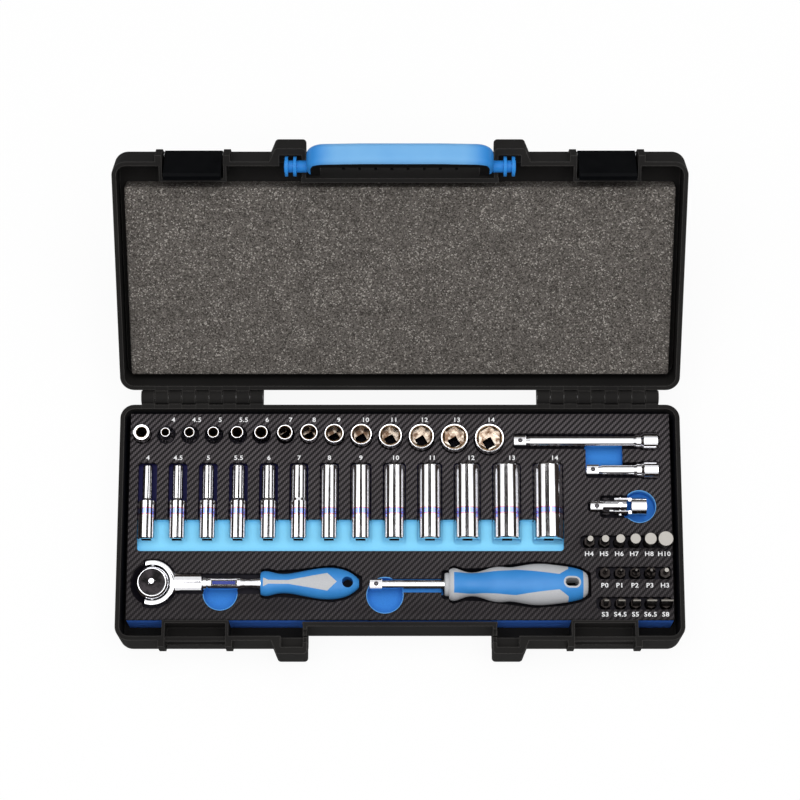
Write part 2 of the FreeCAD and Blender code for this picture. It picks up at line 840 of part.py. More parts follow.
def latch(side, sign):
    """A draw latch: pivot barrel, a web out to the plate, and a lip that hooks under the catch bar."""
    half = "latch_width / 2"
    x = (f"{sign} * latch_x - {half}", f"{sign} * latch_x + {half}")
    start = (x[0], "latch_pin_y", "latch_pin_z")
    barrel = rod(f"latch_barrel_{side}", "x", start, "latch_width", "latch_barrel")
    body = new_body(f"latch_plate_{side}")
    outer, inner = "latch_plate_y - latch_plate", "latch_plate_y"
    lip_top = "catch_foot_z - catch_clearance"
    profile = [
        ("latch_pin_y", "latch_pin_z - latch_web"),
        ("latch_pin_y", "latch_pin_z"),
        (outer, "latch_pin_z - latch_offset"),
        (outer, "latch_foot + latch_lip"),
        (f"{outer} + latch_lip", "latch_foot"),
        (f"{inner} + latch_lip", "latch_foot"),
        (f"{inner} + latch_lip", lip_top),
        (inner, lip_top),
        (inner, "latch_pin_z - latch_web"),
    ]
    pad(body, "YZ_Plane", profile, "latch_width", x[0])
    bore = rod(f"latch_bore_{side}", "x", start, "latch_width", "latch_pin_radius + pin_clearance")
    whole = cut(f"latch_{side}", fuse(f"latch_moulding_{side}", [barrel, body]), [bore])
    pin = Vector(0, number("latch_pin_y"), number("latch_pin_z"))
    lean = Placement(Vector(), Rotation(Vector(1, 0, 0), number("latch_lean")), pin)
    whole.Placement = lid_swing().multiply(lean)
    return node(f"latch_{side}", whole)


def carry_handle():
    """A bail swung up from the lid: crowned grip with finger ribs, two arms, and flanged trunnions."""
    body = new_body("handle_bail")
    reach = "(recess_half - handle_play)"
    inside = f"({reach} - arm_width)"
    foot, low = "handle_z + arm_foot", "handle_z + grip_inner"
    high = "handle_z + grip_inner + grip_width"
    outline = [
        (f"-{reach}", foot),
        (f"-{inside}", foot),
        (f"-{inside}", low),
        (inside, low),
        (inside, foot),
        (reach, foot),
        (reach, f"{high} - grip_crown"),
        (f"{inside} / 2", high),
        (f"-{inside} / 2", high),
        (f"-{reach}", f"{high} - grip_crown"),
    ]
    bail = pad(body, "XZ_Plane", outline, "grip_front + grip_back", "-handle_y - grip_back")
    outer, top = number(reach), number(f"{high} - grip_crown")
    corners = round_edges(
        body,
        bail,
        "bail_corner",
        lambda edge: along(edge, "y")
        and abs(abs(edge.CenterOfMass.x) - outer) < 0.001
        and abs(edge.CenterOfMass.z - top) < 0.001,
    )
    round_edges(
        body,
        corners,
        "grip_rounding",
        lambda edge: along(edge, "x") and abs(edge.CenterOfMass.x) < 0.001,
    )
    solids = [body]
    for index in range(FINGER_RIBS):
        start = (f"({index} - {(FINGER_RIBS - 1) / 2}) * finger_pitch", "handle_y - grip_front", low)
        solids.append(rod(f"finger_rib_{index}", "y", start, "grip_front + grip_back", "finger_rib"))
    for side, sign in (("right", "1"), ("left", "-1")):
        hub_start = (span(sign, inside, reach)[0], "handle_y", "handle_z")
        solids.append(rod(f"handle_hub_{side}", "x", hub_start, "arm_width", "hub_radius"))
        pin_start = (span(sign, inside, "recess_half + trunnion_reach")[0], "handle_y", "handle_z")
        length = f"recess_half + trunnion_reach - {inside}"
        solids.append(rod(f"trunnion_{side}", "x", pin_start, length, "trunnion_radius"))
        for place_name, at in (("near", "flange_near"), ("far", "flange_far")):
            disc = span(sign, f"recess_half + {at}", f"recess_half + {at} + flange_width")
            start = (disc[0], "handle_y", "handle_z")
            solids.append(rod(f"flange_{place_name}_{side}", "x", start, "flange_width", "flange_radius"))
    handle = fuse("carry_handle", solids)
    pivot = Vector(0, number("handle_y"), number("handle_z"))
    swung_up = Placement(Vector(), Rotation(AXES["x"], number("handle_swing")), pivot)
    handle.Placement = lid_swing().multiply(swung_up)
    return node("carry_handle", handle)


def hinge_pins():
    pins = []
    for side, sign in (("right", "1"), ("left", "-1")):
        x = span(sign, "hinge_start + knuckle_gap / 2", "hinge_start + hinge_length - knuckle_gap / 2")
        start = (x[0], "hinge_y", "hinge_z")
        pins.append(rod(f"hinge_pin_{side}", "x", start, "hinge_length - knuckle_gap", "hinge_pin_radius"))
    return node("hinge_pins", group("hinge_pins", pins))


def lid_foam():
    foam = block(
        "lid_foam",
        ("-foam_half", "foam_half"),
        ("foam_front_y", "foam_back_y"),
        ("foam_z", "lid_top - lid_panel"),
    )
    pad_piece = group("lid_foam_pad", [foam])
    pad_piece.Placement = lid_swing()
    return node("lid_foam", pad_piece)


# Foam tray

def grip_outline(grip, start, x, y):
    """The plan outline of a grip with room round it."""
    count = len(RATCHET_GRIP if grip == "ratchet" else DRIVER_GRIP)
    far = f"{x} + {start} + {grip}_station_{count - 1} + grip_clearance"
    stations = [f"{x} + {start} + {grip}_station_{i}" for i in range(count - 1)]
    reach = [(at, f"({grip}_half_{i} + grip_clearance)") for i, at in enumerate(stations + [far])]
    upper = [(at, f"{y} + {half}") for at, half in reach]
    lower = [(at, f"{y} - {half}") for at, half in reversed(reach)]
    return upper + lower


def grip_pocket(grip, start, x, y, floor):
    body = new_body(f"{grip}_grip_pocket")
    pad(body, "XY_Plane", grip_outline(grip, start, x, y), f"lid_top - ({floor})", floor)
    return body


def recess(name, x, y, floor):
    """A straight-sided pocket with rounded corners."""
    body = new_body(name)
    room = pad(body, "XY_Plane", rectangle(x, y), f"lid_top - ({floor})", floor)
    round_edges(body, room, "pocket_corner", lambda edge: along(edge, "z"))
    return body


def strip(name, x, y, half, floor):
    """A rounded pocket along X, centred on y."""
    return recess(name, x, (f"{y} - ({half})", f"{y} + {half}"), floor)


def well(name, x, y, radius, floor):
    """A round upright pocket."""
    return rod(name, "z", (x, y, floor), f"lid_top - ({floor})", radius)


def socket_pockets():
    rooms = []
    adapter = ("short_first_x", "short_back_y - drive_radius")
    rooms.append(well("adapter_hole", *adapter, "drive_radius + pocket_clearance", "tray_floor_z"))
    for flats in SOCKET_FLATS:
        name = tag(flats)
        radius = f"body_{name} + pocket_clearance"
        rooms.append(well(f"short_hole_{name}", f"short_x_{name}", f"short_y_{name}", radius, "tray_floor_z"))
        x = (f"deep_x_{name} - ({radius})", f"deep_x_{name} + {radius}")
        y = ("deep_front_y - slot_end_room", "deep_back_y + slot_end_room")
        rooms.append(recess(f"deep_slot_{name}", x, y, f"deep_axis_z - body_{name} - seat_gap"))
    trough_x = (
        "deep_first_x - drive_radius - trough_margin",
        f"deep_x_{LARGEST} + body_{LARGEST} + trough_margin",
    )
    trough_y = ("trough_front_y", "trough_back_y")
    rooms.append(recess("deep_trough", trough_x, trough_y, "tray_z - trough_depth"))
    return rooms


def bar_pockets():
    floor = "bar_axis_z - bar_end_radius - seat_gap"
    right = "bar_end_x + pocket_clearance"
    wide = "bar_end_radius + pocket_clearance"
    narrow = "bar_radius + shaft_room"
    end_x = ("bar_end_x - bar_end_length - pocket_clearance", right)
    rooms = []
    for bar in ("long_bar", "short_bar"):
        shaft_x = (f"bar_end_x - {bar} - pocket_clearance", right)
        rooms.append(strip(f"{bar}_slot", shaft_x, f"{bar}_y", narrow, floor))
        rooms.append(strip(f"{bar}_end_slot", end_x, f"{bar}_y", wide, floor))
    scoop_left = "bar_end_x - short_bar - pocket_clearance"
    scoop_x = (scoop_left, f"{scoop_left} + bar_scoop_width")
    rooms.append(recess("bar_scoop", scoop_x, ("short_bar_y", "long_bar_y"), "tray_z - scoop_depth"))
    return rooms


def joint_pockets():
    floor = "bar_axis_z - joint_radius - seat_gap"
    tip_x = ("joint_x - slot_end_room", "joint_x + tip_length + pocket_corner")
    main_x = ("joint_x + tip_length - joint_room", "joint_x + joint_length + pocket_clearance")
    scoop_x = "joint_x + joint_length - joint_scoop_back"
    return [
        strip("joint_tip_slot", tip_x, "joint_y", "square_half + pocket_clearance", floor),
        strip("joint_slot_room", main_x, "joint_y", "joint_radius + joint_room", floor),
        well("joint_scoop", scoop_x, "joint_y", "joint_scoop_radius", "tray_z - scoop_depth"),
    ]


def ratchet_pockets():
    """Room for the fork, a ball-shaped well for the head to swing in, the shank, the grip and the scoop."""
    floor = "ratchet_z - fork_thick / 2 - seat_gap"
    fork_circle = well("fork_circle", "ratchet_x", "ratchet_y", "fork_outer + fork_room", floor)
    fork_side = block(
        "fork_side",
        ("ratchet_x - fork_tip - fork_room", "ratchet_x + fork_outer + fork_room"),
        ("ratchet_y - fork_outer - fork_room", "ratchet_y + fork_outer + fork_room"),
        (floor, "lid_top"),
    )
    ball = DOC.addObject("Part::Sphere", "head_well_ball")
    bind(ball, Radius="well_radius")
    place(ball, "ratchet_x", "ratchet_y", "ratchet_z")
    shank_x = ("ratchet_x", "ratchet_x + ratchet_grip_start + grip_clearance")
    scoop = ("ratchet_x + ratchet_scoop_x", "ratchet_y - ratchet_scoop_shift")
    grip_floor = "ratchet_z - ratchet_depth - seat_gap"
    return [
        common("fork_room_cut", fork_circle, fork_side),
        ball,
        well("head_well", "ratchet_x", "ratchet_y", "well_radius", "ratchet_z"),
        strip("shank_slot", shank_x, "ratchet_y", "shank_half + fork_room", floor),
        grip_pocket("ratchet", "ratchet_grip_start", "ratchet_x", "ratchet_y", grip_floor),
        well("ratchet_scoop", *scoop, "ratchet_scoop_radius", "tray_z - scoop_depth"),
    ]


def driver_pockets():
    shaft_x = ("driver_x - pocket_clearance", "driver_x + driver_collar_x")
    collar_x = (
        "driver_x + driver_collar_x - grip_clearance",
        "driver_x + driver_grip_start + grip_clearance",
    )
    scoop = ("driver_x + driver_scoop_x", "driver_y - driver_scoop_shift")
    collar_half = "driver_collar_radius + grip_clearance"
    collar_floor = "driver_z - driver_collar_radius - seat_gap"
    shaft_floor = "driver_z - driver_shaft_radius - seat_gap"
    shaft_half = "driver_shaft_radius + shaft_room"
    grip_floor = "driver_z - driver_depth - seat_gap"
    return [
        strip("driver_shaft_slot", shaft_x, "driver_y - shaft_shift", shaft_half, shaft_floor),
        strip("driver_collar_slot", collar_x, "driver_y", collar_half, collar_floor),
        grip_pocket("driver", "driver_grip_start", "driver_x", "driver_y", grip_floor),
        well("driver_scoop", *scoop, "driver_scoop_radius", "tray_z - scoop_depth"),
    ]


def bit_rows():
    """Each row's name, and the node, kind and size of its bits from left to right."""
    points = [("phillips_bits", "point", size) for size in PHILLIPS]
    return (
        ("hex", [("hex_bits", "key", size) for size in HEX_KEYS]),
        ("phillips", points + [("hex_bits", "key", SHORT_HEX_KEY)]),
        ("slotted", [("slotted_bits", "blade", size) for size in SLOT_BLADES]),
    )


def bit_places():
    """Node, kind, size and place of every bit, rows counted from the right."""
    places = []
    for row, bits in bit_rows():
        for index, (owner, kind, size) in enumerate(bits):
            x = f"last_bit_x - {len(bits) - 1 - index} * bit_pitch"
            places.append((owner, kind, size, x, f"{row}_row_y"))
    return places


def bit_pockets():
    """A shallow slot for each row, and a hole below it for each bit."""
    rooms = []
    for row, bits in bit_rows():
        x = (f"last_bit_x - {len(bits) - 1} * bit_pitch - bit_row_start", "last_bit_x + bit_hole")
        rooms.append(strip(f"{row}_row_slot", x, f"{row}_row_y", "bit_row_half", "tray_z - bit_row_depth"))
    for owner, kind, size, x, y in bit_places():
        rooms.append(well(f"bit_hole_{kind}_{tag(size)}", x, y, "bit_hole", "tray_floor_z"))
    return rooms


def tray():
    """A plain blue slab, three blue blocks on it and a black sheet, with the pockets cut through."""
    rooms = socket_pockets() + bar_pockets() + joint_pockets()
    rooms += ratchet_pockets() + driver_pockets() + bit_pockets()
    x, y = ("-tray_half", "tray_half"), ("tray_front_y", "tray_back_y")
    pockets = fuse("tray_pockets", rooms)
    node("tray_floor", block("tray_floor", x, y, ("case_floor", "tray_floor_z")))
    third = "tray_half / 3"
    for name, left, right in (
        ("tray_left", "-tray_half", f"-{third}"),
        ("tray_middle", f"-{third}", third),
        ("tray_right", third, "tray_half"),
    ):
        blank = block(f"{name}_blank", (left, right), y, ("tray_floor_z", "tray_split"))
        node(name, cut(name, blank, [pockets]))
    sheet = block("tray_top_blank", x, y, ("tray_split", "tray_z"))
    node("tray_top", cut("tray_top", sheet, [pockets]))


# Sockets and bits

def socket(label, flats, nose, length, nose_length):
    """A turned socket, drive end at its origin and mouth up, with a hexagon above and a square below."""
    body = new_body(label)
    bore = "socket_chamfer"
    profile = [("0", "0"), (f"drive_radius - {bore}", "0"), ("drive_radius", bore)]
    stepped = number(nose) < number("drive_radius")
    if stepped:
        step = f"{length} - {nose_length}"
        profile += [("drive_radius", f"{step} - shoulder"), (nose, step)]
    else:
        profile[1:] = [(f"{nose} - {bore}", "0"), (nose, bore)]
    profile += [(nose, f"{length} - {bore}"), (f"{nose} - {bore} / 2", length), ("0", length)]
    turn(body, "XZ_Plane", profile, "V_Axis")
    pocket(body, "XY_Plane", hexagon(flats), f"{length} - drive_depth", length)
    lead_in = f"({flats} / sqrt(3))"
    cone = [("0", f"{length} - {lead_in}"), (lead_in, length), ("0", length)]
    turn(body, "XZ_Plane", cone, "V_Axis", "Groove")
    pocket(body, "XY_Plane", centred_square("socket_square_half"), "drive_depth", reverse=True)
    return node(label, body)


def sockets():
    for flats in SOCKET_FLATS:
        name = tag(flats)
        hexagon_size, nose = f"flats_{name}", f"nose_{name}"
        short = socket(f"short_socket_{name}mm", hexagon_size, nose, "short_length", "short_nose")
        short.Placement = Placement(Vector(), Rotation(AXES["z"], number("short_turn")))
        place(short, f"short_x_{name}", f"short_y_{name}", "tray_floor_z + seat_gap")
        deep = socket(f"deep_socket_{name}mm", hexagon_size, nose, "deep_length", "deep_nose")
        deep.Placement = Placement(Vector(), Rotation(Vector(1, 0, 0), -90))
        place(deep, f"deep_x_{name}", "deep_front_y", "deep_axis_z")


def bit_adapter():
    """A short holder: square drive below, hexagon for bits above, with a gripping waist."""
    body = new_body("bit_adapter")
    chamfer = "socket_chamfer"
    waist, top = "adapter_waist", "adapter_length"
    profile = [
        ("0", "0"),
        (f"drive_radius - {chamfer}", "0"),
        ("drive_radius", chamfer),
        ("drive_radius", "adapter_length / 2 - shoulder"),
        (waist, "adapter_length / 2"),
        (waist, "adapter_length / 2 + shoulder"),
        ("drive_radius", "adapter_length / 2 + 2 * shoulder"),
        ("drive_radius", f"{top} - {chamfer}"),
        (f"drive_radius - {chamfer}", top),
        ("0", top),
    ]
    turn(body, "XZ_Plane", profile, "V_Axis")
    pocket(body, "XY_Plane", hexagon("(bit_flats + 2 * square_play)"), f"{top} - drive_depth", top)
    pocket(body, "XY_Plane", centred_square("socket_square_half"), "drive_depth", reverse=True)
    place(body, "short_first_x", "short_back_y - drive_radius", "tray_floor_z + seat_gap")
    return node("bit_adapter", body)


def hex_bit(name, at, size):
    """Hexagon shank and key, the key's end turned to a chamfer."""
    shank = prism(f"{name}_shank", at, "bit_shank", "bit_flats")
    x, y, z = at
    foot, height = f"{z} + bit_shank", "(bit_length - bit_shank)"
    blank = prism(f"{name}_blank", (x, y, foot), height, size)
    point = DOC.addObject("Part::Cone", f"{name}_point")
    end = f"({size} / 2 - key_chamfer)"
    bind(point, Radius1=f"{end} + {height}", Radius2=end, Height=height)
    place(point, x, y, foot)
    return fuse(name, [shank, common(f"{name}_key", blank, point)])


def phillips_bit(name, at, size):
    """Tapered tip with four flutes."""
    x, y, z = at
    shank = prism(f"{name}_shank", at, "bit_shank", "bit_flats")
    radius = f"(point_core + {size} * point_step)"
    stem = rod(f"{name}_stem", "z", (x, y, f"{z} + bit_shank"), "(bit_length - bit_shank) / 2", radius)
    tip = DOC.addObject("Part::Cone", f"{name}_tip")
    bind(tip, Radius1=radius, Radius2=f"{radius} * point_end_share", Height="(bit_length - bit_shank) / 2")
    place(tip, x, y, f"{z} + (bit_length + bit_shank) / 2")
    flutes = []
    for turn_index, (sx, sy) in enumerate(((1, 1), (1, -1), (-1, 1), (-1, -1))):
        inner = f"{radius} * flute_share"
        flute_x = (f"{x} + {inner}", f"{x} + {radius}") if sx > 0 else (f"{x} - {radius}", f"{x} - {inner}")
        flute_y = (f"{y} + {inner}", f"{y} + {radius}") if sy > 0 else (f"{y} - {radius}", f"{y} - {inner}")
        flute_z = (f"{z} + (bit_length + bit_shank) / 2", f"{z} + bit_length + overcut")
        flutes.append(block(f"{name}_flute_{turn_index}", flute_x, flute_y, flute_z))
    return cut(name, fuse(f"{name}_blank", [shank, stem, tip]), flutes)


def slotted_bit(name, at, blade):
    """Round stem flattened to a flat blade."""
    x, y, z = at
    shank = prism(f"{name}_shank", at, "bit_shank", "bit_flats")
    body = new_body(f"{name}_blade")
    side = [
        (f"-{blade} / 2", "0"),
        (f"{blade} / 2", "0"),
        (f"{blade} / 2", "bit_length - bit_shank"),
        (f"-{blade} / 2", "bit_length - bit_shank"),
    ]
    thick = [
        ("-blade_root", "0"),
        ("blade_root", "0"),
        ("blade_tip / 2", "bit_length - bit_shank"),
        ("-blade_tip / 2", "bit_length - bit_shank"),
    ]
    pad(body, "XZ_Plane", side, "bit_flats", "-bit_flats / 2")
    wedge = new_body(f"{name}_wedge")
    pad(wedge, "YZ_Plane", thick, "2 * bit_flats", "-bit_flats")
    flat = common(f"{name}_flat", body, wedge)
    place(flat, x, y, f"{z} + bit_shank")
    return fuse(name, [shank, flat])


def bits():
    makers = {"key": hex_bit, "point": phillips_bit, "blade": slotted_bit}
    owners = {}
    for owner, kind, size, x, y in bit_places():
        at = (x, y, "tray_floor_z + seat_gap")
        formula = size if kind == "point" else f"{kind}_{tag(size)}"
        owners.setdefault(owner, []).append(makers[kind](f"{kind}_bit_{tag(size)}", at, formula))
    for owner, pieces in owners.items():
        node(owner, group(owner, pieces))


# Tools that lie along X

def square_tip(body):
    """A male drive square from the tool's origin."""
    pad(body, "YZ_Plane", centred_square("square_half"), "tip_length")


def extension_bar(label, length, y):
    """Male square, necked shaft, and a socket end with a female square."""
    body = new_body(label)
    end = f"({length} - bar_end_length)"
    profile = [
        ("tip_length", "0"),
        ("tip_length", "bar_neck"),
        ("tip_length + bar_taper", "bar_radius"),
        (f"{end} - bar_collar_length", "bar_radius"),
        (f"{end} - bar_collar_length + shoulder", "bar_collar_radius"),
        (end, "bar_collar_radius"),
        (f"{end} + shoulder", "bar_end_radius"),
        (f"{length} - socket_chamfer", "bar_end_radius"),
        (length, "bar_end_radius - socket_chamfer"),
        (length, "0"),
    ]
    turn(body, "XZ_Plane", profile, "H_Axis")
    square_tip(body)
    pocket(body, "YZ_Plane", centred_square("socket_square_half"), "drive_depth", length)
    place(body, f"bar_end_x - {length}", y, "bar_axis_z")
    return node(label, body)


def universal_joint():
    """Two forks at right angles on a cross: the drive fork stands upright, the socket fork lies flat."""
    start, pivot = "tip_length", "joint_pivot"
    body_end = "tip_length + joint_drive_body"
    far = "joint_length - joint_socket_body"
    eye = "joint_eye"
    slot = "joint_slot / 2"
    hole = "cross_pin + pin_clearance"
    reach = "joint_radius"
    half = "cross_block / 2"
    square, whole, middle = ("-square_half", "square_half"), (f"-{reach}", reach), (f"-{half}", half)
    above, below = (half, reach), (f"-{reach}", f"-{half}")
    bore = ("-socket_square_half", "socket_square_half")
    fork_x, socket_x = (body_end, "joint_length"), ("0", far)
    drive_barrel = rod("joint_drive_barrel", "x", (start, "0", "0"), f"{pivot} + {eye} - tip_length", reach)
    drive_square = block("joint_drive_square", ("0", start), square, square)
    drive_blank = fuse("joint_drive_blank", [drive_barrel, drive_square])
    drive_cuts = [
        block("joint_drive_slot", fork_x, whole, (f"-{slot}", slot)),
        block("joint_drive_flat_back", fork_x, above, whole),
        block("joint_drive_flat_front", fork_x, below, whole),
        rod("joint_drive_eye", "z", (pivot, "0", f"-{reach}"), "2 * joint_radius", hole),
    ]
    socket_start = (f"{pivot} - {eye}", "0", "0")
    socket_blank = rod("joint_socket_barrel", "x", socket_start, f"joint_length - {pivot} + {eye}", reach)
    socket_cuts = [
        block("joint_socket_slot", socket_x, (f"-{slot}", slot), whole),
        block("joint_socket_flat_top", socket_x, whole, above),
        block("joint_socket_flat_low", socket_x, whole, below),
        rod("joint_socket_eye", "y", (pivot, f"-{reach}", "0"), "2 * joint_radius", hole),
        block("joint_socket_square", (far, "joint_length + overcut"), bore, bore),
    ]
    cross = [
        block("cross_core", (f"{pivot} - {half}", f"{pivot} + {half}"), middle, middle),
        rod("cross_pin_upright", "z", (pivot, "0", f"-{reach}"), "2 * joint_radius", "cross_pin"),
        rod("cross_pin_level", "y", (pivot, f"-{reach}", "0"), "2 * joint_radius", "cross_pin"),
    ]
    pieces = {
        "uj_drive_yoke": cut("uj_drive_yoke", drive_blank, drive_cuts),
        "uj_socket_yoke": cut("uj_socket_yoke", socket_blank, socket_cuts),
        "uj_cross": fuse("uj_cross", cross),
    }
    for label, piece in pieces.items():
        node(label, place(piece, "joint_x", "joint_y", "bar_axis_z"))


def grip_loft(grip, start):
    """A grip faired through its oval sections."""
    count = len(RATCHET_GRIP if grip == "ratchet" else DRIVER_GRIP)
    ovals = []
    for index in range(count):
        oval = DOC.addObject("Part::Ellipse", f"{grip}_oval_{index}")
        oval.Placement = Placement(Vector(), Rotation(AXES["y"], AXES["z"], AXES["x"]))
        bind(oval, MajorRadius=f"{grip}_half_{index}", MinorRadius=f"{grip}_rise_{index}")
        place(oval, f"{start} + {grip}_station_{index}")
        ovals.append(oval)
    loft = DOC.addObject("Part::Loft", f"{grip}_loft")
    loft.Sections = ovals
    loft.Solid = True
    return loft


def ratchet_shank():
    """A forged fork round the head, a split shank, and a turned neck with a tang inside the grip."""
    low, high, thick = "-fork_thick / 2", "fork_thick / 2", "fork_thick"
    ring = rod("fork_disc", "z", ("0", "0", low), thick, "fork_outer")
    touch_y = "(shank_half + fork_fillet) * fork_touch"
    web_x = ("fork_fillet_x * fork_touch", "fork_fillet_x")
    web = block("fork_web", web_x, (f"-{touch_y}", touch_y), (low, high))
    shank_y = ("-shank_half", "shank_half")
    shank = block("shank_bar", ("fork_inner", "shank_end"), shank_y, (low, high))
    neck = new_body("shank_neck")
    profile = [
        ("fork_outer", "0"),
        ("fork_outer", "groove_radius"),
        ("ring_start", "groove_radius"),
        ("ring_start", "ring_radius"),
        ("ring_end", "ring_radius"),
        ("ring_end", "groove_radius"),
        ("neck_start", "groove_radius"),
        ("neck_start", "neck_radius"),
        ("neck_end", "neck_radius"),
        ("throat_start", "throat_radius"),
        ("throat_start + throat_length", "throat_radius"),
        ("ratchet_grip_start", "neck_radius"),
        ("tang_end", "neck_radius"),
        ("tang_end", "0"),
    ]
    turn(neck, "XZ_Plane", profile, "H_Axis")
    fillet_y = "shank_half + fork_fillet"
    split_y = ("-split_width / 2", "split_width / 2")
    panel_x = ("neck_start + panel_inset", "neck_end - panel_inset")
    panel_y = ("-panel_half", "panel_half")
    cuts = [
        rod("fork_fillet_back", "z", ("fork_fillet_x", fillet_y, low), thick, "fork_fillet"),
        rod("fork_fillet_front", "z", ("fork_fillet_x", f"-({fillet_y})", low), thick, "fork_fillet"),
        rod("fork_bore", "z", ("0", "0", low), thick, "fork_inner"),
        block("fork_opening", ("-fork_outer", "-fork_tip"), ("-fork_outer", "fork_outer"), (low, high)),
        rod("fork_pin_hole", "y", ("0", "-fork_outer", "0"), "2 * fork_outer", "pivot_pin_radius"),
        block("shank_split_top", ("0", "shank_end"), split_y, (f"{high} - split_depth", high)),
        block("shank_split_low", ("0", "shank_end"), split_y, (low, f"{low} + split_depth")),
        block("neck_panel_top", panel_x, panel_y, ("panel_level", "neck_radius")),
        block("neck_panel_low", panel_x, panel_y, ("-neck_radius", "-panel_level")),
    ]
    forging = fuse("ratchet_forging", [ring, web, shank, neck])
    return node("ratchet_shank", seat_ratchet(cut("ratchet_shank", forging, cuts)))


def seat_ratchet(thing):
    return place(thing, "ratchet_x", "ratchet_y", "ratchet_z")


def ratchet_head():
    """A round head on the fork's pins, with the drive gear's chamber open below."""
    play = "gear_play"
    blank = new_body("head_disc")
    rim = "head_radius - head_chamfer"
    profile = [
        ("0", "-head_top"),
        (rim, "-head_top"),
        ("head_radius", "head_chamfer - head_top"),
        ("head_radius", "head_top - head_chamfer"),
        (rim, "head_top"),
        ("0", "head_top"),
    ]
    turn(blank, "XZ_Plane", profile, "V_Axis")
    pin_y = "head_radius - pivot_pin_depth"
    pin_hole = "pivot_pin_radius + pin_clearance"
    rooms = [
        rod("gear_chamber", "z", ("0", "0", "-head_top"), f"gear_height + {play}", f"gear_radius + {play}"),
        rod("button_way", "z", ("0", "0", "0"), "head_height", f"button_stem + {play}"),
        rod("pin_hole_back", "y", ("0", pin_y, "0"), "head_radius", pin_hole),
        rod("pin_hole_front", "y", ("0", f"-({pin_y}) - head_radius", "0"), "head_radius", pin_hole),
    ]
    node("ratchet_head", seat_ratchet(cut("ratchet_head", blank, rooms)))
    disc = rod("drive_gear_disc", "z", ("0", "0", "-head_top"), "gear_height", "gear_radius")
    stem_foot = ("0", "0", "-head_top / 2")
    stem_room = rod("drive_stem_room", "z", stem_foot, "head_height", f"button_stem + {play}")
    gear = cut("drive_gear", disc, [stem_room])
    side = ("-square_half", "square_half")
    anvil = block("drive_anvil", side, side, ("-head_top - tip_length", "-head_top"))
    node("ratchet_drive", seat_ratchet(fuse("ratchet_drive", [gear, anvil])))
    dial_foot = f"head_top + {play}"
    dial_disc = rod("dial_disc", "z", ("0", "0", dial_foot), "dial_height", "dial_radius")
    thumb_bar = new_body("dial_thumb_bar")
    far = "(dial_radius - thumb_bar_inset + thumb_bar_half) / sqrt(2)"
    near = "(dial_radius - thumb_bar_inset - thumb_bar_half) / sqrt(2)"
    corners = [(f"-{far}", near), (f"-{near}", far), (far, f"-{near}"), (near, f"-{far}")]
    pad(thumb_bar, "XY_Plane", corners, "dial_height + thumb_bar_height", dial_foot)
    dial_top = f"{dial_foot} + dial_height + thumb_bar_height"
    dial_bound = rod("dial_bound", "z", ("0", "0", "0"), "head_height + well_room", "dial_radius")
    dial = common("dial_blank", fuse("dial_moulding", [dial_disc, thumb_bar]), dial_bound)
    centre = rod("dial_centre", "z", ("0", "0", "0"), "head_height", f"button_radius + {play}")
    node("ratchet_dial", seat_ratchet(cut("ratchet_dial", dial, [centre])))
    cap_z = f"{dial_top} + button_gap"
    cap = rod("button_cap", "z", ("0", "0", cap_z), "button_height", "button_radius")
    stem_foot = "gear_height - head_top + button_gap"
    stem = rod("button_stem_rod", "z", ("0", "0", stem_foot), f"{cap_z} - ({stem_foot})", "button_stem")
    node("ratchet_button", seat_ratchet(fuse("ratchet_button", [cap, stem])))


def ratchet_pivot_pins():
    length = "fork_outer - head_radius + pivot_pin_depth - seat_gap"
    near = "head_radius - pivot_pin_depth + seat_gap"
    pins = [
        rod("pivot_pin_back", "y", ("0", near, "0"), length, "pivot_pin_radius"),
        rod("pivot_pin_front", "y", ("0", "-fork_outer", "0"), length, "pivot_pin_radius"),
    ]
    node("ratchet_pivot_pins", seat_ratchet(group("ratchet_pivot_pins", pins)))


def ratchet_grip():
    """A waisted two-material grip with a hanging hole, moulded over the bar's tang."""
    loft = grip_loft("ratchet", "ratchet_grip_start")
    end = "ratchet_grip_start + ratchet_last - hang_hole_back"
    hole = rod("ratchet_hang_hole", "z", (end, "0", "-head_radius"), "2 * head_radius", "hang_hole_radius")
    tang = rod("ratchet_tang_room", "x", ("neck_start", "0", "0"), "tang_end - neck_start", "neck_radius")
    start = "ratchet_grip_start"
    upper = [
        (f"{start} + inlay_front", "inlay_front_half"),
        (f"{start} + inlay_neck", "inlay_neck_half"),
        (f"{start} + inlay_flare", "inlay_neck_half"),
        (f"{start} + inlay_wide", "inlay_half"),
    ]
    lower = [(x, f"-{y}") for x, y in reversed(upper)]
    arrow = upper + [(f"{start} + inlay_end", "0")] + lower
    layers = []
    for name, low in (("upper", "inlay_level"), ("lower", "-inlay_level - head_radius")):
        body = new_body(f"inlay_{name}")
        pad(body, "XY_Plane", arrow, "head_radius", low)
        layers.append(body)
    blank = cut("ratchet_grip_blank", loft, [hole, tang])
    inlay_room = group("ratchet_inlay_room", layers)
    node("ratchet_grip_inlay", seat_ratchet(common("ratchet_grip_inlay", blank, inlay_room)))
    node("ratchet_grip", seat_ratchet(cut("ratchet_grip", blank, layers)))


def seat_driver(thing):
    return place(thing, "driver_x", "driver_y", "driver_z")


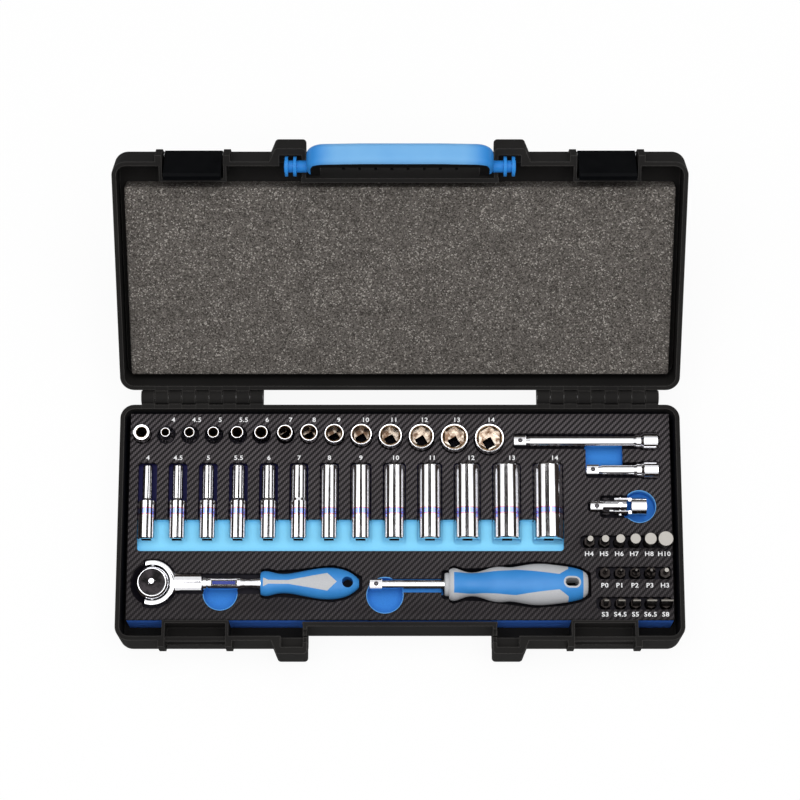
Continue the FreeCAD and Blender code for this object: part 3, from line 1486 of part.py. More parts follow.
def driver():
    """Screwdriver-type handle: square-ended shaft, collar, and a two-material grip with a hanging slot."""
    body = new_body("driver_shaft")
    profile = [
        ("tip_length", "0"),
        ("tip_length", "driver_shaft_radius"),
        ("driver_collar_x", "driver_shaft_radius"),
        ("driver_collar_x", "driver_tang_half"),
        ("driver_grip_start + driver_tang", "driver_tang_half"),
        ("driver_grip_start + driver_tang", "0"),
    ]
    turn(body, "XZ_Plane", profile, "H_Axis")
    square_tip(body)
    node("driver_shaft", seat_driver(body))
    collar = new_body("driver_collar")
    flange = [
        ("driver_collar_x", "driver_tang_half"),
        ("driver_collar_x", "driver_collar_radius - socket_chamfer"),
        ("driver_collar_x + socket_chamfer", "driver_collar_radius"),
        ("driver_grip_start", "driver_collar_radius"),
        ("driver_grip_start", "driver_tang_half"),
    ]
    turn(collar, "XZ_Plane", flange, "H_Axis")
    node("driver_collar", seat_driver(collar))
    loft = grip_loft("driver", "driver_grip_start")
    tang_start = ("driver_collar_x", "0", "0")
    tang = rod("driver_tang_room", "x", tang_start, "driver_collar_width + driver_tang", "driver_tang_half")
    blank = cut("driver_grip_blank", loft, [hang_slot("driver_slot", "slot_half"), tang])
    soft_room = soft_sides() + [hang_slot("driver_slot_border", "slot_half + slot_border")]
    end = block(
        "driver_end_cap",
        ("driver_grip_start + end_cap", "driver_reach"),
        ("-driver_wide", "driver_wide"),
        ("-driver_depth", "driver_depth"),
    )
    soft = fuse("driver_soft_room", soft_room + [end])
    node("driver_soft_panels", seat_driver(common("driver_soft_panels", blank, soft)))
    node("driver_grip", seat_driver(cut("driver_grip", blank, [soft])))


def hang_slot(name, half):
    """A round-ended upright slot near the end of the driver's grip."""
    middle = "driver_grip_start + slot_start + slot_length / 2"
    reach = "(slot_length / 2 - slot_half)"
    low, length = "-driver_depth", "2 * driver_depth"
    near, far = f"{middle} - {reach}", f"{middle} + {reach}"
    bar = block(f"{name}_bar", (near, far), (f"-({half})", half), (low, "driver_depth"))
    ends = [rod(f"{name}_end_{i}", "z", (x, "0", low), length, half) for i, x in enumerate((near, far))]
    return fuse(name, [bar, *ends])


def soft_sides():
    """Plan outlines of the soft panels: a band round the grip's front that runs back along both sides."""
    start = "driver_grip_start"
    outline = [
        (f"{start} + soft_front", "soft_waist_half"),
        (f"{start} + soft_waist", "soft_waist_half"),
        (f"{start} + soft_peak", "soft_peak_half"),
        (f"{start} + soft_low", "soft_low_half"),
        (f"{start} + soft_end", "soft_end_half"),
        (f"{start} + soft_end", "driver_wide + overcut"),
        (f"{start} - overcut", "driver_wide + overcut"),
        (f"{start} - overcut", "0"),
        (f"{start} + soft_front", "0"),
    ]
    panels = []
    for name, corners in (("back", outline), ("front", [(x, f"-({y})") for x, y in outline])):
        body = new_body(f"driver_panel_{name}")
        pad(body, "XY_Plane", corners, "2 * driver_depth", "-driver_depth")
        panels.append(body)
    return panels


def build():
    base_shell()
    hinge_pins()
    lid_shell()
    lid_foam()
    latch_pins()
    latch("right", "1")
    latch("left", "-1")
    carry_handle()
    tray()
    sockets()
    bit_adapter()
    bits()
    extension_bar("extension_bar_long", "long_bar", "long_bar_y")
    extension_bar("extension_bar_short", "short_bar", "short_bar_y")
    universal_joint()
    ratchet_shank()
    ratchet_head()
    ratchet_pivot_pins()
    ratchet_grip()
    driver()


def check():
    DOC.recompute()
    for thing in DOC.Objects:
        if "Invalid" in thing.State or "Error" in thing.State:
            raise RuntimeError(f"{thing.Label} failed: {thing.State}")
    for label, thing in NODES.items():
        if thing.Shape.isNull() or not thing.Shape.isValid():
            raise RuntimeError(f"{label} has no valid shape")


def export():
    os.makedirs("parts", exist_ok=True)
    for label, thing in NODES.items():
        thing.Shape.exportStep(f"parts/{label}.step")


build()
check()
export()
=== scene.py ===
import json
import math

import bmesh
import bpy
from mathutils import Matrix, Vector


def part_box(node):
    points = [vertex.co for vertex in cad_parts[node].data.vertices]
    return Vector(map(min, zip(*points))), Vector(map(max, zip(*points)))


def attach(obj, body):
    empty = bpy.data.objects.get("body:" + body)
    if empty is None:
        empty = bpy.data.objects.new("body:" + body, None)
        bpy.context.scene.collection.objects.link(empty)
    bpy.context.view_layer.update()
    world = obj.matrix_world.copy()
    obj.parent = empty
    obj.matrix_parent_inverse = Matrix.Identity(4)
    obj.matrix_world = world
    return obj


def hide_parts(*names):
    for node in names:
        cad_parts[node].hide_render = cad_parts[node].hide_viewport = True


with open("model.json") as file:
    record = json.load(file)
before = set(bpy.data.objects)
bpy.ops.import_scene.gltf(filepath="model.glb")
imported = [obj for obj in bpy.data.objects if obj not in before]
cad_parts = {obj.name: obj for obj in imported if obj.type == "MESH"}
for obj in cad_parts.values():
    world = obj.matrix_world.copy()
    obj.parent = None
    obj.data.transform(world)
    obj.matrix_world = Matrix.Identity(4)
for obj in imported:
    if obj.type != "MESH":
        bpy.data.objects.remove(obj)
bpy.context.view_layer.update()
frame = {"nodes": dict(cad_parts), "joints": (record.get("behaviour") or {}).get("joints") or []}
nodes = frame["nodes"]
MM = 0.001


# Case shells
# Base and lid are injection-moulded in black polypropylene, from a mould with a fine spark texture.
# They turn on two steel pins at the back. Their edges are painted pale, partly as wear from use and partly as
# a painted highlight along each edge, and the walls are scuffed a little.

class Wire:
    """An output of a finish's node; a sum on wires adds its Math node."""

    def __init__(self, finish, socket):
        self.finish = finish
        self.socket = socket

    def __add__(self, other):
        return self.finish.maths("ADD", self, other)

    def __sub__(self, other):
        return self.finish.maths("SUBTRACT", self, other)

    def __rsub__(self, other):
        return self.finish.maths("SUBTRACT", other, self)

    def __mul__(self, other):
        return self.finish.maths("MULTIPLY", self, other)

    def __truediv__(self, other):
        return self.finish.maths("DIVIDE", self, other)

    def __mod__(self, other):
        return self.finish.maths("FLOORED_MODULO", self, other)

    def __lt__(self, other):
        return self.finish.maths("LESS_THAN", self, other)

    def __gt__(self, other):
        return self.finish.maths("GREATER_THAN", self, other)

    def __abs__(self):
        return self.finish.maths("ABSOLUTE", self)

    def __floor__(self):
        return self.finish.maths("FLOOR", self)

    __radd__ = __add__
    __rmul__ = __mul__


class Mixture:
    """A node tree, and the one method that adds a node to it."""

    def __init__(self, tree):
        self.tree = tree

    def add(self, kind, settings=None, sockets=None, output=0):
        """A node of any kind: its settings first, then the values or links of its sockets."""
        node = self.tree.nodes.new("ShaderNode" + kind)
        for name, value in (settings or {}).items():
            if name == "stops":
                self.fill_ramp(node.color_ramp, value)
            else:
                setattr(node, name, value)
        self.feed(node, sockets or {})
        return Wire(self, node.outputs[output])

    def feed(self, node, sockets):
        for name, value in sockets.items():
            if isinstance(value, Wire):
                self.tree.links.new(value.socket, node.inputs[name])
            else:
                node.inputs[name].default_value = value

    def fill_ramp(self, ramp, stops):
        while len(ramp.elements) < len(stops):
            ramp.elements.new(1)
        for element, (at, colour) in zip(ramp.elements, stops):
            element.position = at
            element.color = colour

    def maths(self, operation, *values):
        return self.add("Math", {"operation": operation}, dict(enumerate(values)))

    def blend(self, share, one, other):
        """From one colour to the other as share goes from 0 to 1."""
        return self.add("Mix", {"data_type": "RGBA"}, {0: share, 6: one, 7: other}, output=2)

    def ramp(self, value, *stops):
        return self.add("ValToRGB", {"stops": stops}, {0: value})


class Finish(Mixture):
    """A procedural material on one Principled shader, with its patterns in millimetres."""

    def __init__(self, name, **sockets):
        self.material = bpy.data.materials.new(name)
        self.material.use_nodes = True
        super().__init__(self.material.node_tree)
        self.shader = self.tree.nodes["Principled BSDF"]
        self.set(**sockets)
        metres = self.add("TexCoord", output="Object")
        self.spot = self.add("VectorMath", {"operation": "SCALE"}, {0: metres, "Scale": 1 / MM})

    def set(self, **sockets):
        """Feed the shader; base_color stands for its socket Base Color."""
        names = {name: name.replace("_", " ").title().replace("Ior", "IOR") for name in sockets}
        self.feed(self.shader, {names[name]: value for name, value in sockets.items()})

    def axes(self):
        """X, Y and Z of the surface point, in millimetres."""
        return [self.add("SeparateXYZ", sockets={0: self.spot}, output=axis) for axis in range(3)]

    def noise(self, scale, detail=2, spot=None):
        sockets = {"Vector": spot or self.spot, "Scale": scale, "Detail": detail}
        return self.add("TexNoise", sockets=sockets)

    def relief(self, height, depth, strength=1.0):
        """Bump the surface by a height of 0 to 1 times a depth in millimetres."""
        sockets = {"Height": height, "Distance": depth * MM, "Strength": strength}
        self.set(normal=self.add("Bump", sockets=sockets))


def paint(red, green, blue):
    """A colour as a paint chart gives it, 0 to 255, for a shader."""
    shares = [channel / 255 for channel in (red, green, blue)]
    return (*(s / 12.92 if s < 0.0412 else ((s + 0.055) / 1.055) ** 2.4 for s in shares), 1)


def dress(finish, *names):
    """Give CAD nodes a finish."""
    for name in names:
        nodes[name].material_slots[0].material = finish.material


case_plastic = Finish("case_plastic", specular_ior_level=0.004)
spark = case_plastic.noise(2.6, detail=3)
cloud = case_plastic.noise(0.02, detail=2)
rub = case_plastic.ramp(case_plastic.noise(0.35, detail=6), (0.6, (0, 0, 0, 1)), (0.78, (1, 1, 1, 1)))
clean = case_plastic.blend(cloud, paint(31, 30, 30), paint(42, 41, 40))
edge_wear_and_highlight_width = 0.9 * MM
rounded = case_plastic.add("Bevel", {"samples": 4}, {"Radius": edge_wear_and_highlight_width})
flat = case_plastic.add("NewGeometry", output="Normal")
turned = case_plastic.add(
    "VectorMath", {"operation": "DOT_PRODUCT"}, {0: rounded, 1: flat}, output="Value"
)
edge = case_plastic.add("MapRange", sockets={0: turned, 1: 0.98, 2: 0.8, 3: 0, 4: 1})
scuffed = case_plastic.blend(rub * 0.25, clean, paint(50, 48, 46))
# The pale edge paint from the bevel mask is partly wear and partly a painted highlight along each edge.
case_plastic.set(
    base_color=case_plastic.blend(edge * (cloud * 0.5 + 0.3), scuffed, paint(92, 90, 88)),
    roughness=spark * 0.2 + cloud * 0.1 + 0.45,
)
case_plastic.relief(spark, 0.05, 0.35)
dress(case_plastic, "base_shell", "lid_shell")

pin_steel = Finish("pin_steel", base_color=paint(150, 150, 152), metallic=1.0)
pin_steel.set(roughness=pin_steel.noise(0.6) * 0.2 + 0.25)
dress(pin_steel, "hinge_pins", "latch_pins", "ratchet_pivot_pins")


# Latches
# Two draw latches in a harder, glossier black plastic than the shells.
# Each is snapped on a steel pin in the lid, and hooks under a catch bar in the base.

latch_plastic = Finish("latch_plastic", specular_ior_level=0.02)
smear = latch_plastic.noise(0.12, detail=3)
latch_plastic.set(
    base_color=latch_plastic.blend(smear, paint(5, 6, 8), paint(11, 12, 14)),
    roughness=smear * 0.14 + 0.24,
)
latch_plastic.relief(latch_plastic.noise(1.4), 0.03, 0.2)
dress(latch_plastic, "latch_left", "latch_right")


# Carry handle
# A bail with flanged trunnions, moulded in blue polypropylene with a glossy outer face.
# A black rubber grip is moulded round its inside and both sides, with ribs for the fingers.

handle_skin = Finish("handle_skin", specular_ior_level=0.12)
x, y, z = handle_skin.axes()
facing = handle_skin.add("TexCoord", output="Normal")
outward = handle_skin.add("SeparateXYZ", sockets={0: facing}, output=0) * (x / abs(x))
upward = handle_skin.add("SeparateXYZ", sockets={0: facing}, output=2)
arm_middle, arm_outside, strap_level = 57, 61.3, 153.5
strap = (upward > 0.35) * (z > strap_level)
hard = strap + (outward > 0.35) * (abs(x) > arm_middle) + (abs(x) > arm_outside)
hard = handle_skin.maths("MINIMUM", hard, 1.0)
grain = handle_skin.noise(1.8, detail=3)
wear_and_highlight = handle_skin.noise(0.05, detail=2)
blue = handle_skin.blend(wear_and_highlight, paint(38, 126, 206), paint(54, 142, 218))
# The strap's upper face is painted pale blue, strongest in the middle and fading towards the ends: a painted
# highlight of the overhead light on the curved strap. A random tone varies both the blue and this highlight.
highlight_end, highlight_fade = 60, 20
fade = handle_skin.add(
    "MapRange",
    {"interpolation_type": "SMOOTHSTEP"},
    {0: abs(x), 1: highlight_end - highlight_fade, 2: highlight_end, 3: 1, 4: 0},
)
painted_highlight_blue = handle_skin.blend(strap * fade * (0.75 + wear_and_highlight * 0.3), blue, paint(120, 178, 226))
rubber = handle_skin.blend(grain, paint(2, 2, 3), paint(7, 7, 8))
handle_skin.set(
    base_color=handle_skin.blend(hard, rubber, painted_highlight_blue),
    roughness=grain * 0.12 + 0.62 - hard * 0.34,
)
handle_skin.relief(grain, 0.04, 0.25)
dress(handle_skin, "carry_handle")


# Lid foam
# A slab of grey open-cell polyurethane foam, sawn to size and glued to the lid's panel.
# Its sawn edges are slightly rounded, and its face shows the cells as light and dark specks.

hinge = next(joint for joint in frame["joints"] if joint["name"] == "lid_hinge")
hinge_point = Vector(hinge["pos_m"])
lid_opening = math.radians(-hinge["range_deg"][0])
lid_turn = Matrix.Rotation(lid_opening, 4, Vector(hinge["axis"]))
lid_swing = Matrix.Translation(hinge_point) @ lid_turn @ Matrix.Translation(-hinge_point)


def new_piece(name, mesh_maker, finish):
    """A named object from a bmesh, with one finish."""
    mesh = bpy.data.meshes.new(name)
    mesh_maker.to_mesh(mesh)
    mesh_maker.free()
    mesh.materials.append(finish.material)
    piece = bpy.data.objects.new(name, mesh)
    bpy.context.scene.collection.objects.link(piece)
    return piece


def shut_box(name):
    """Lowest and highest corner of a lid node with the lid shut."""
    corners = [lid_swing.inverted() @ vertex.co for vertex in nodes[name].data.vertices]
    low = Vector(min(corner[axis] for corner in corners) for axis in range(3))
    high = Vector(max(corner[axis] for corner in corners) for axis in range(3))
    return low, high


def box_mesh(low, high):
    solid = bmesh.new()
    bmesh.ops.create_cube(solid, size=1)
    bmesh.ops.scale(solid, verts=solid.verts, vec=high - low)
    bmesh.ops.translate(solid, verts=solid.verts, vec=(low + high) / 2)
    return solid


def round_edges(solid, edges, radius, segments=3):
    bmesh.ops.bevel(
        solid,
        geom=edges,
        offset=radius,
        affect="EDGES",
        segments=segments,
        profile=0.5,
        material=-1,
        clamp_overlap=True,
    )


foam_rounding = 1.5 * MM
slab = box_mesh(*shut_box("lid_foam"))
round_edges(slab, slab.edges[:], foam_rounding)
bmesh.ops.transform(slab, matrix=lid_swing, verts=slab.verts)

foam_grey = Finish("foam_grey", roughness=0.95, specular_ior_level=0.15)
cells = {"Vector": foam_grey.spot, "Scale": 1.3}
tints = foam_grey.add("TexVoronoi", {"feature": "F1"}, cells, output="Color")
grain = foam_grey.add("SeparateXYZ", sockets={0: tints})
depth = foam_grey.add("TexVoronoi", {"feature": "F1"}, cells)
mottle = foam_grey.noise(0.07, detail=3)
speck = foam_grey.ramp(
    grain + (mottle - 0.5) * 0.3,
    (0.05, paint(58, 54, 51)),
    (0.5, paint(93, 89, 85)),
    (0.88, paint(110, 105, 100)),
    (0.98, paint(160, 155, 149)),
)
foam_grey.set(base_color=speck)
foam_grey.relief(grain * 0.6 + depth * 0.4, 0.8, 0.5)
pad = new_piece("lid_foam_pad", slab, foam_grey)
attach(pad, "lid")
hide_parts("lid_foam")


# Tray
# Closed-cell foam: a blue slab, three blue blocks on it, and a black sheet on top with a twill pressed in.
# All are water-jet cut with a pocket for each tool, so the pocket edges are crisp and barely rounded.

def merged_copy(name):
    """A CAD node's mesh with its loose triangles joined into flat faces."""
    solid = bmesh.new()
    solid.from_mesh(nodes[name].data)
    bmesh.ops.remove_doubles(solid, verts=solid.verts, dist=1e-6)
    bmesh.ops.dissolve_limit(solid, angle_limit=math.radians(0.5), verts=solid.verts, edges=solid.edges)
    return solid


def sharpen(solid, angle=math.radians(30)):
    """Smooth faces, with the edges over an angle left sharp."""
    for face in solid.faces:
        face.smooth = True
    for edge in solid.edges:
        edge.smooth = edge.is_manifold and edge.calc_face_angle(0) < angle


def rim_edges(solid, height):
    """The edges where upright walls meet a level face at a height."""
    upright = math.radians(60)
    level = [edge for edge in solid.edges if all(abs(v.co.z - height) < 1e-6 for v in edge.verts)]
    return [edge for edge in level if edge.is_manifold and edge.calc_face_angle(0) > upright]


def foam_sheet(name, piece_name, finish):
    solid = merged_copy(name)
    round_edges(solid, rim_edges(solid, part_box(name)[1].z), foam_rim, segments=2)
    sharpen(solid)
    piece = new_piece(piece_name, solid, finish)
    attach(piece, "base")
    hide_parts(name)


foam_rim = 0.4 * MM
blue_foam = Finish("blue_foam", specular_ior_level=0.2)
x, y, z = blue_foam.axes()


def in_box(x_span, y_span):
    """1 where the foam lies in a rectangle of the tray, in millimetres."""
    return (x > x_span[0]) * (x < x_span[1]) * (y > y_span[0]) * (y < y_span[1])


def in_disc(centre, radius):
    across, along = x - centre[0], y - centre[1]
    return (across * across + along * along) < radius * radius


tray_low, tray_high = (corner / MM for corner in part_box("tray_floor"))
sheet_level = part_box("tray_top")[0].z / MM - 1
tray_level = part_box("tray_top")[1].z
cut_side = 0.4
core = in_box((tray_low.x + cut_side, tray_high.x - cut_side), (tray_low.y + cut_side, tray_high.y - cut_side))
trough = in_box((-177.5, 110.7), (-19.8, 3.0))
deep_pockets = in_box((-180, 112), (3.0, 42.0)) * (z < sheet_level)
bar_window = in_box((125.7, 151.3), (36.3, 57.0))
shaft_window = in_box((-22.0, 29.0), (-48.0, -37.9))
scoops = (((-120.5, -48.3), 11.2), ((-10.1, -49.6), 12.0), ((161.7, 11.2), 10.8))
bare = sum((in_disc(centre, radius + 0.3) for centre, radius in scoops), start=0)
bare = bare + bar_window + shaft_window + trough
# Inside the tool pockets the blue foam is painted dark, a painted shade for the deep shadow in the pockets;
# the scoops, windows, trough and outer sides stay blue.
lined = core * (1 - blue_foam.maths("MINIMUM", bare, 1.0))
pores = blue_foam.noise(1.6, detail=3)
open_blue = blue_foam.blend(pores, paint(40, 116, 200), paint(64, 144, 222))
trough_blue = blue_foam.blend(pores, paint(124, 208, 248), paint(150, 224, 253))
# Painted pocket shade: near-black, and dark indigo in the deep-socket pockets.
pocket_shade_paint = blue_foam.blend(pores, paint(15, 13, 20), paint(27, 24, 34))
pocket_shade_paint = blue_foam.blend(deep_pockets, pocket_shade_paint, paint(36, 35, 86))
# The tray's outer sides are painted a lighter blue than the open foam, a painted light that offsets the shade
# in the narrow gap to the case wall.
side_blue_lightened = blue_foam.blend(pores, paint(64, 122, 240), paint(84, 144, 250))
bare_blue = blue_foam.blend(trough, blue_foam.blend(core, side_blue_lightened, open_blue), trough_blue)
blue_foam.set(base_color=blue_foam.blend(lined, bare_blue, pocket_shade_paint), roughness=pores * 0.2 + 0.6)
blue_foam.relief(pores, 0.12, 0.4)
for part in ("floor", "left", "middle", "right"):
    foam_sheet(f"tray_{part}", f"tray_blue_{part}", blue_foam)

tow = 1.06
black_foam = Finish("black_foam", specular_ior_level=0.15)
x, y = black_foam.axes()[:2]
over = ((math.floor(x / tow) - math.floor(y / tow)) % 4) < 2
across = abs((x / tow) % 1 - 0.5)
along = abs((y / tow) % 1 - 0.5)
crown = 1 - 2 * (over * across + (1 - over) * along)
drawn = black_foam.add("VectorMath", {"operation": "MULTIPLY"}, {0: black_foam.spot, 1: (4, 0.6, 1)})
fibre = black_foam.noise(1.0, detail=2, spot=drawn)
# The floats are painted lighter towards the back of the tray, a painted light, with a random tone on top.
painted_light_to_back = black_foam.add("MapRange", sockets={0: y, 1: -60, 2: 60, 3: 0, 4: 0.6})
lustre = painted_light_to_back + black_foam.noise(0.03, detail=1) * 0.5
lustre = black_foam.blend(lustre, paint(42, 38, 40), paint(104, 98, 101))
tows = black_foam.blend(over, paint(24, 21, 23), lustre)
# Each tow is painted darker from its middle to its edges: dark joints between the tows, and a painted shade of
# each tow's rounding.
weave = black_foam.blend(crown * 0.75 + fibre * 0.35, paint(18, 15, 17), tows)
# A light blue line is painted round each scoop's rim, a painted highlight on the cut edge.
scoop_rim_highlights = [in_disc(centre, radius + 0.45) - in_disc(centre, radius - 0.5) for centre, radius in scoops]
black_foam.set(
    base_color=black_foam.blend(abs(sum(scoop_rim_highlights, start=0)), weave, paint(92, 160, 222)),
    roughness=0.66 - over * 0.12,
)
black_foam.relief(crown * 0.7 + fibre * 0.3, 0.25, 0.5)
foam_sheet("tray_top", "tray_black_sheet", black_foam)


# Size marks
# White screen print on the black sheet beside each pocket: plain sizes in a wide bold letter.
# The ink lies on the foam as a thin layer, and has worn unevenly.

print_thickness = 0.06 * MM
print_height = 3.1 * MM
print_bold = 0.018
print_stretch = 1.12


def mark(text, x, y):
    """One printed size, centred on a point of the tray, as a mesh."""
    letters = bpy.data.curves.new("mark", "FONT")
    letters.body = text
    letters.align_x = "CENTER"
    letters.align_y = "CENTER"
    letters.size = 1
    letters.offset = print_bold
    letters.space_character = 1.08
    letters.resolution_u = 3
    letters.extrude = print_thickness / 2
    holder = bpy.data.objects.new("mark", letters)
    bpy.context.scene.collection.objects.link(holder)
    bpy.context.view_layer.update()
    mesh = bpy.data.meshes.new_from_object(holder)
    size = print_height / 0.72
    mesh.transform(Matrix.Diagonal((size * print_stretch, size, 1, 1)))
    mesh.transform(Matrix.Translation((x, y, tray_level + print_thickness / 2)))
    bpy.data.objects.remove(holder)
    bpy.data.curves.remove(letters)
    return mesh


def middle(name):
    low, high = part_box(name)
    return (low + high) / 2


socket_sizes = ("4", "4.5", "5", "5.5", "6", "7", "8", "9", "10", "11", "12", "13", "14")
short_mark_y = 71.5 * MM
deep_mark_y = 44.9 * MM
marks = bmesh.new()
for size in socket_sizes:
    name = size.replace(".", "_")
    short_x = middle(f"short_socket_{name}mm").x
    deep_x = middle(f"deep_socket_{name}mm").x
    marks.from_mesh(mark(size, short_x * 0.985 + 2.3 * MM, short_mark_y))
    marks.from_mesh(mark(size, deep_x + max(0, (deep_x + 26 * MM) * 0.037), deep_mark_y))
bit_pitch = 10.1 * MM
last_bit_mark = 177.6 * MM
for y, sizes in (
    (-21.5, ("H4", "H5", "H6", "H7", "H8", "H10")),
    (-43, ("P0", "P1", "P2", "P3", "H3")),
    (-62.7, ("S3", "S4.5", "S5", "S6.5", "S8")),
):
    for index, size in enumerate(reversed(sizes)):
        marks.from_mesh(mark(size, last_bit_mark - index * bit_pitch, y * MM))
white_print = Finish("white_print", specular_ior_level=0.3)
worn = white_print.noise(0.9, detail=3)
ink = white_print.blend(worn, paint(250, 250, 250), paint(222, 222, 224))
white_print.set(base_color=ink, roughness=worn * 0.2 + 0.45)
size_marks = new_piece("size_marks", marks, white_print)
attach(size_marks, "base")


# Sockets
# Chrome-plated chrome-vanadium steel, polished outside, with bare oiled bores that look bronze.
# The deep ones carry a blue ring between two fine red lines, printed round the waist.

def chrome_finish(name):
    """Polished plating, and its slight haze."""
    finish = Finish(name, metallic=1.0)
    haze = finish.noise(0.35, detail=3)
    return finish, haze, finish.blend(haze, paint(222, 222, 226), paint(240, 240, 242))


bore_depth = 15.4


def bored_chrome(name, mouth, painted_chamfer_width, bore_light):
    """Plating on a standing tool, with a bare bore of bronze colour. A ring on the flat round the mouth is
    painted dark, a painted reflection of a chamfer, and the bore's floor is painted dark as painted shade; the
    last argument scales the bore's colours, so narrow bores are painted darker as painted shade.
    """
    finish, haze, plate = chrome_finish(f"{name}_chrome")
    x, y, z = finish.axes()
    across, along = x - middle(name).x / MM, y - middle(name).y / MM
    inside = (across * across + along * along) < (mouth + painted_chamfer_width) ** 2
    depth = (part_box(name)[1].z / MM - z) / bore_depth
    # Colour down the bore: a dark ring on the flat round the mouth, a painted reflection of a chamfer; bright
    # bronze down the walls; near-black at the floor, a painted shade.
    oiled_bore_and_shade = finish.ramp(
        depth,
        (0.0, paint(120 * bore_light, 100 * bore_light, 76 * bore_light)),
        (0.1, paint(232 * bore_light, 221 * bore_light, 208 * bore_light)),
        (0.7, paint(206 * bore_light, 194 * bore_light, 180 * bore_light)),
        (0.975, paint(226 * bore_light, 216 * bore_light, 204 * bore_light)),
        (1.0, paint(40, 34, 56)),
    )
    patchy = finish.noise(0.3, detail=1)
    stain = finish.ramp(patchy, (0.4, paint(150, 130, 116)), (0.56, paint(255, 255, 255)))
    multiply = {"data_type": "RGBA", "blend_type": "MULTIPLY"}
    bare = finish.add("Mix", multiply, {0: 1, 6: oiled_bore_and_shade, 7: stain}, output=2)
    finish.set(base_color=finish.blend(inside, plate, bare), roughness=haze * 0.07 + 0.05 + inside * 0.2)
    dress(finish, name)


for size in socket_sizes:
    flats = float(size)
    mouth = flats / math.sqrt(3)
    wall = (flats * 1.33 + 1.35) / 2 - mouth
    # Narrower sockets get darker bores, a painted shade for the less light that reaches into them.
    bore_light = 0.6 + 0.4 * (flats - 4) / 10
    bored_chrome(f"short_socket_{size.replace('.', '_')}mm", mouth, wall * 0.45, bore_light)
bit_hexagon = 6.35
bored_chrome("bit_adapter", bit_hexagon / math.sqrt(3), 0.3, 0.7)

banded_chrome, haze, plate = chrome_finish("banded_chrome")
y = banded_chrome.axes()[1]
ring_middle, ring_half, line_half = 7.6, 2.1, 0.28
off_middle = abs(y - ring_middle)
ringed = banded_chrome.blend(off_middle < ring_half, plate, paint(160, 178, 240))
lined = banded_chrome.blend(abs(off_middle - ring_half) < line_half, ringed, paint(240, 140, 140))
banded_chrome.set(base_color=lined, roughness=haze * 0.07 + 0.05)
dress(banded_chrome, *(f"deep_socket_{size.replace('.', '_')}mm" for size in socket_sizes))


# Bars and universal joint
# Forged and turned, with the same polished plating as the sockets.
# A hardened ball sits in a seat drilled in each square tip, sprung outwards so that sockets stay on.

chrome, haze, plate = chrome_finish("chrome")
chrome.set(base_color=plate, roughness=haze * 0.07 + 0.05)
dress(chrome, "uj_cross")


def ridge(finish, distance, radius):
    """Height of a round crown, by distance from its middle line, in millimetres."""
    return finish.maths("SQRT", finish.maths("MAXIMUM", radius * radius - distance * distance, 0.0))


def crowned_chrome(name, radius, reach):
    """Plating whose flat top is polished round, along X, as far as a reach from the low-X end."""
    finish, haze, plate = chrome_finish(f"{name}_chrome")
    x, y = finish.axes()[:2]
    crown = ridge(finish, y - middle(name).y / MM, radius) - radius
    finish.set(base_color=plate, roughness=haze * 0.07 + 0.05)
    finish.relief(crown * (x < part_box(name)[0].x / MM + reach), 1.0)
    dress(finish, name)


tip_length, tip_crown = 7.9, 6
crowned_chrome("extension_bar_long", tip_crown, tip_length)
crowned_chrome("extension_bar_short", tip_crown, tip_length)
crowned_chrome("uj_drive_yoke", 4.5, 40)
crowned_chrome("uj_socket_yoke", 7, 9.5)

ball_steel = Finish("ball_steel", metallic=1.0)
scuff = ball_steel.noise(1.5, detail=3)
ball_steel.set(
    base_color=ball_steel.blend(scuff, paint(70, 68, 70), paint(104, 102, 104)),
    roughness=scuff * 0.12 + 0.16,
)
ball_radius = 1.45 * MM
ball_sunk = 0.95 * MM
seat_radius = 1.75 * MM
seat_height = 0.03 * MM
tip_to_ball = 4.2 * MM


def detent_ball(name, body, tip):
    """A sprung ball and its seat, on top of the square tip at the low-X end of a node."""
    low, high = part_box(tip)
    centre = Vector((low.x + tip_to_ball, (low.y + high.y) / 2, 0))
    top = max(v.co.z for v in nodes[tip].data.vertices if abs(v.co.x - low.x) < tip_to_ball)
    ball = bmesh.new()
    place = Matrix.Translation(centre + Vector((0, 0, top - ball_sunk)))
    bmesh.ops.create_uvsphere(ball, u_segments=24, v_segments=12, radius=ball_radius, matrix=place)
    place = Matrix.Translation(centre + Vector((0, 0, top)))
    sides = {"radius1": seat_radius, "radius2": seat_radius, "depth": 2 * seat_height}
    bmesh.ops.create_cone(ball, cap_ends=True, segments=32, matrix=place, **sides)
    sharpen(ball)
    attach(new_piece(name, ball, ball_steel), body)


detent_ball("long_bar_ball", "extension_bar_long", "extension_bar_long")
detent_ball("short_bar_ball", "extension_bar_short", "extension_bar_short")
detent_ball("joint_ball", "universal_joint", "uj_drive_yoke")


# Bits
# Hardened tool steel, blackened all over, standing in three rows of round pockets.
# The hexagon tips are ground bright after blackening.

def bit_finish(name, dark, light, tip, tip_depth):
    """Blackened steel with a ground end face."""
    finish = Finish(f"{name}_steel", specular_ior_level=0.2)
    ground = finish.axes()[2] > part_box(name)[1].z / MM - tip_depth
    streak = finish.noise(0.8, detail=3)
    black = finish.blend(streak, paint(dark, dark - 3, dark - 4), paint(light, light - 4, light - 6))
    finish.set(base_color=finish.blend(ground, black, tip), metallic=1 - ground * 0.85)
    finish.set(roughness=streak * 0.15 + 0.36)
    dress(finish, name)


end_face = 0.05
bit_finish("hex_bits", 38, 60, paint(176, 172, 166), end_face)
bit_finish("phillips_bits", 30, 46, paint(96, 92, 88), end_face)
bit_finish("slotted_bits", 30, 46, paint(120, 116, 110), end_face)


# Ratchet
# A chrome-plated forged shank with a fork, a round head on two pins, and a two-material grip.
# A strip of blue enamel lies in the panel that is sunk in its neck.

dress(chrome, "ratchet_head", "ratchet_drive")
head = middle("ratchet_head") / MM


